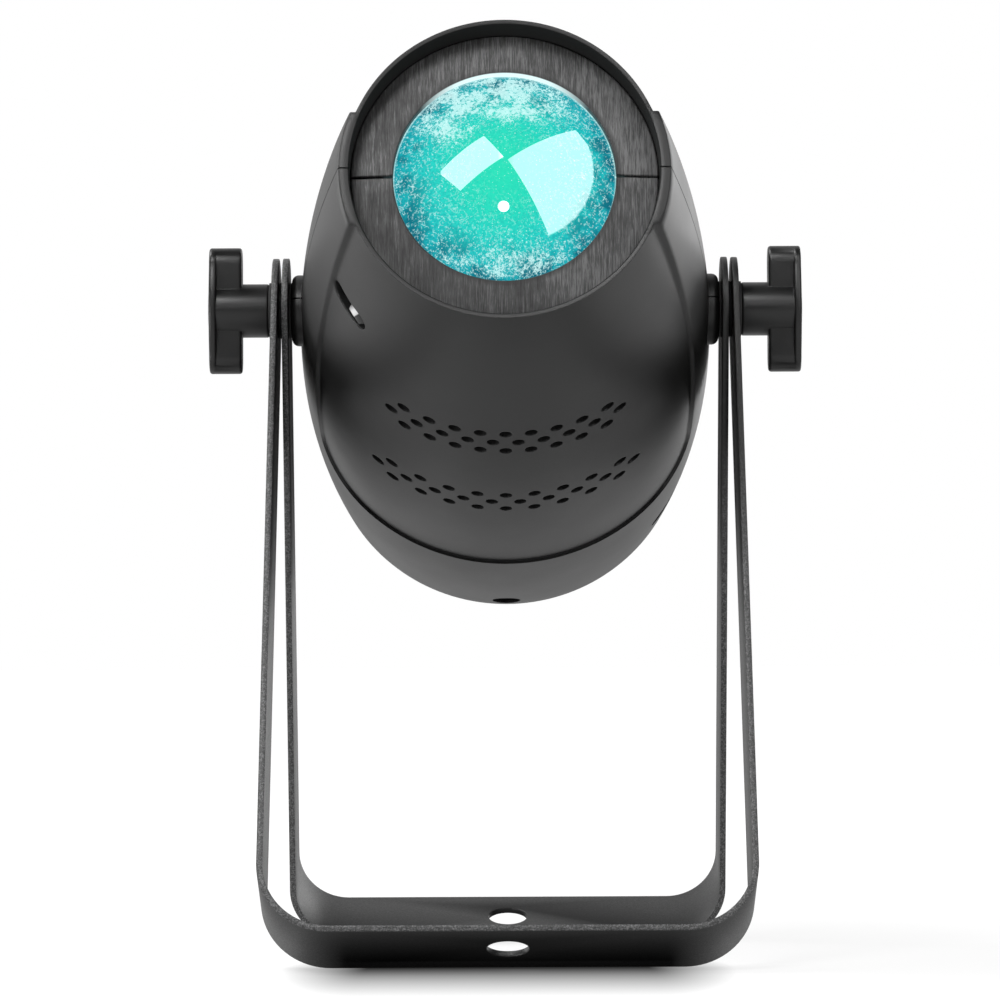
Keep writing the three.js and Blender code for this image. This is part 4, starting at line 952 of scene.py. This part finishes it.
def makeWasher(name, start, end):
    w = washers
    disc = roundBar(name, w["radius"], (start, 0, 0), (end, 0, 0), w["steps"])
    low, high = start - w["boreSpare"], end + w["boreSpare"]
    combine(disc, [roundBar("hole", w["bore"], (low, 0, 0), (high, 0, 0), w["boreSteps"])], "DIFFERENCE")
    return softenEdges(disc, w["edge"], segments=2, angle=50)


rightKnob = makeKnob()
leftKnob = mirrorPiece(copyPiece(rightKnob, "leftKnob"))
for piece, word in ((rightKnob, "right"), (leftKnob, "left")):
    seat(piece)
    finishPiece(piece, word + "_knob", materials["knob"], ["knob_" + word], knob["smooth"])
for place in ("inner", "middle", "outer"):
    body, start, end = washers[place]
    right = makeWasher(place + "WasherRight", start, end)
    left = mirrorPiece(copyPiece(right, place + "WasherLeft"))
    for piece, word in ((right, "right"), (left, "left")):
        seat(piece)
        finishPiece(piece, body, materials["rubber"], [place + "_washer_" + word], washers["smooth"])
print("knobs and washers made")


# finishes of the CAD nodes that stay
slotFinish = {
    "powder_coat": "frontCoat", "rubber": "rubber", "knob_plastic": "knob", "zinc_steel": "zinc",
    "satin_black": "shell", "brushed_dark": "bezel", "lens_glass": "lens", "black_plastic": "plastic",
    "bare_aluminium": "aluminium", "circuit_board": "board", "emitter_dome": "emitter", "window_plastic": "window",
    "button_plastic": "button", "nickel_socket": "nickel",
}
for entry in frame["record"]["subparts"]:
    piece = nodes[entry["node"]]
    piece.data.materials.clear()
    piece.data.materials.append(materials[slotFinish[entry["material_slot"]]])
print("CAD nodes painted")


# floor, backdrop, light and camera
studio = {
    "backdrop": (0.25, 0.55, 0.66),     # the white wall behind: where it begins, where it is full, its strength
    "floorSize": 60, "floorCentre": (0, 20, 0), "floorTone": 0.22, "bounce": 0.50,
    "floorGlow": (0.82, 1.0), "floorFade": (0.30, 1.1),
    # where a bracket stands, how far and how deep its shade is
    "feet": ((-0.0807, 0.132, 0.97), (0.0885, 0.060, 0.45)),
    "footHalf": 0.043, "besideFoot": 5, "behindFoot": 2.5, "bounceShade": 0.034, "underFeet": (0.072, 0.050),
    "aim": (0, -110, 30),
    "softboxes": {
        "left": {"place": (-0.405, -1.106, 1.007), "along": (0.789, 0.251, 0.561), "size": (0.71, 0.41), "power": 10.8},
        "right": {"place": (0.670, -1.000, 0.689), "along": (0.70, 0.69, 0.18), "size": (1.0, 1.154), "power": 7.9},
        "spot": {"place": (-0.016, -1.424, 0.471), "along": (1, 0, 0), "size": (0.14, 0.14), "power": 0.9},
        "topLeft": {"place": (-1.0, 0.1, 1.5), "along": (0, 1, 0), "size": (0.9, 0.9), "power": 22},
        "leftBack": {"place": (-1.3, 0.75, 0.35), "along": (0, 0, 1), "size": (1.3, 0.5), "power": 6.2},
        "lowLeft": {"place": (-1.3, -1.0, -0.11), "along": (1, 0, 0), "size": (0.9, 0.25), "power": 9},
        "rightFar": {"place": (0.95, 1.6, 0.3), "along": (0, 0, 1), "size": (1.2, 0.7), "power": 5.5},
    },
}
camera = {
    "distance": 1546.55, "drop": -113.23, "pitch": 1.914, "roll": -0.25, "focal": 4787.1, "centre": 506.0,
    "picture": 1000, "sensor": 36, "near": 0.05, "far": 200,
}


# white to the camera, a soft bounce to the lamp; both carry a painted shadow under the brackets' feet, which also
# darkens the floor's colour there
def makeFloor():
    clearSelection()
    bpy.ops.mesh.primitive_plane_add(size=studio["floorSize"], location=studio["floorCentre"])
    floor = bpy.context.object
    floor.name = "studioFloor"
    applyPlace(floor)
    look = Recipe("whiteFloor", Roughness=0.9, Specular_IOR_Level=0.0)
    spot = look.place()
    far = look.node("ShaderNodeVectorMath", {"operation": "LENGTH"}, {0: spot}, "Value")
    glow = look.span(far, *studio["floorFade"], *studio["floorGlow"])
    x, y = look.parts(spot, "XY")
    openPart, bounce = 1.0, studio["bounce"]
    # painted contact shadow in front of and around each foot
    for row, reach, depth in studio["feet"]:
        beside = (size(x) - studio["footHalf"]).most(0.0) * studio["besideFoot"]
        away = (row - y).most((y - row) * studio["behindFoot"])
        openPart = (1 - look.span(length(beside, away), reach, 0.0) * depth) * openPart
        under = look.span((y - row) * (y - row), studio["bounceShade"] ** 2, 0.0)
        under = under * look.span(size(x), *studio["underFeet"])
        bounce = (1 - under) * bounce
    seen = look.node("ShaderNodeLightPath", out="Is Camera Ray")
    level = glow * openPart * seen + (1 - seen) * bounce
    tone = studio["floorTone"]
    look.set(Base_Color=look.mix(openPart, black, (tone, tone, tone)))
    look.set(Emission_Color=look.mix(level, black, white), Emission_Strength=1.0)
    floor.data.materials.append(look.material)


# white for the camera; for the lamp it is a white wall behind and darkness in front
def makeWorld():
    world = bpy.data.worlds.new("studioWorld")
    bpy.context.scene.world = world
    world.use_nodes = True
    tree = world.node_tree
    tree.nodes.clear()
    kinds = ("OutputWorld", "LightPath", "TexCoord", "SeparateXYZ", "MapRange", "Math", "Background")
    out, path, way, parts, wall, most, sky = (tree.nodes.new("ShaderNode" + kind) for kind in kinds)
    begin, full, strength = studio["backdrop"]
    wall.inputs["From Min"].default_value = begin
    wall.inputs["From Max"].default_value = full
    wall.inputs["To Max"].default_value = strength
    most.operation = "MAXIMUM"
    sky.inputs["Color"].default_value = (1, 1, 1, 1)
    for source, target in (
        (way.outputs["Generated"], parts.inputs[0]), (parts.outputs["Y"], wall.inputs["Value"]),
        (wall.outputs[0], most.inputs[0]), (path.outputs["Is Camera Ray"], most.inputs[1]),
        (most.outputs[0], sky.inputs["Strength"]), (sky.outputs[0], out.inputs[0]),
    ):
        tree.links.new(source, target)


# softboxes face the lamp; their long side lies along a given direction
def makeLamps():
    aim = pivot + Vector(studio["aim"]) * mm
    for name, what in studio["softboxes"].items():
        clearSelection()
        place = pivot + Vector(what["place"])
        bpy.ops.object.light_add(type="AREA", location=place)
        lamp = bpy.context.object
        lamp.name = name + "Softbox"
        lamp.data.shape = "DISK" if name == "spot" else "RECTANGLE"
        lamp.data.size, lamp.data.size_y = what["size"]
        lamp.data.energy = what["power"]
        back = (place - aim).normalized()
        side = Vector(what["along"])
        side = (side - back * side.dot(back)).normalized()
        lamp.rotation_euler = Matrix((side, back.cross(side), back)).transposed().to_euler()


# the camera that was fitted to the photo's outlines; focal length and centre are in pixels of the picture
def makeCamera():
    c = camera
    clearSelection()
    bpy.ops.object.camera_add(location=pivot + Vector((0, -c["distance"], c["drop"])) * mm)
    eye = bpy.context.object
    eye.name = "photographCamera"
    eye.rotation_euler = (Matrix.Rotation(math.radians(90 + c["pitch"]), 4, "X")
                          @ Matrix.Rotation(math.radians(c["roll"]), 4, "Z")).to_euler()
    eye.data.sensor_width = c["sensor"]
    eye.data.lens = c["focal"] / c["picture"] * c["sensor"]
    eye.data.shift_x = (c["picture"] / 2 - c["centre"]) / c["picture"]
    eye.data.clip_start, eye.data.clip_end = c["near"], c["far"]
    bpy.context.scene.camera = eye


makeFloor()
makeWorld()
makeLamps()
makeCamera()
bpy.context.scene.view_settings.view_transform = "Standard"
print("studio and camera set")
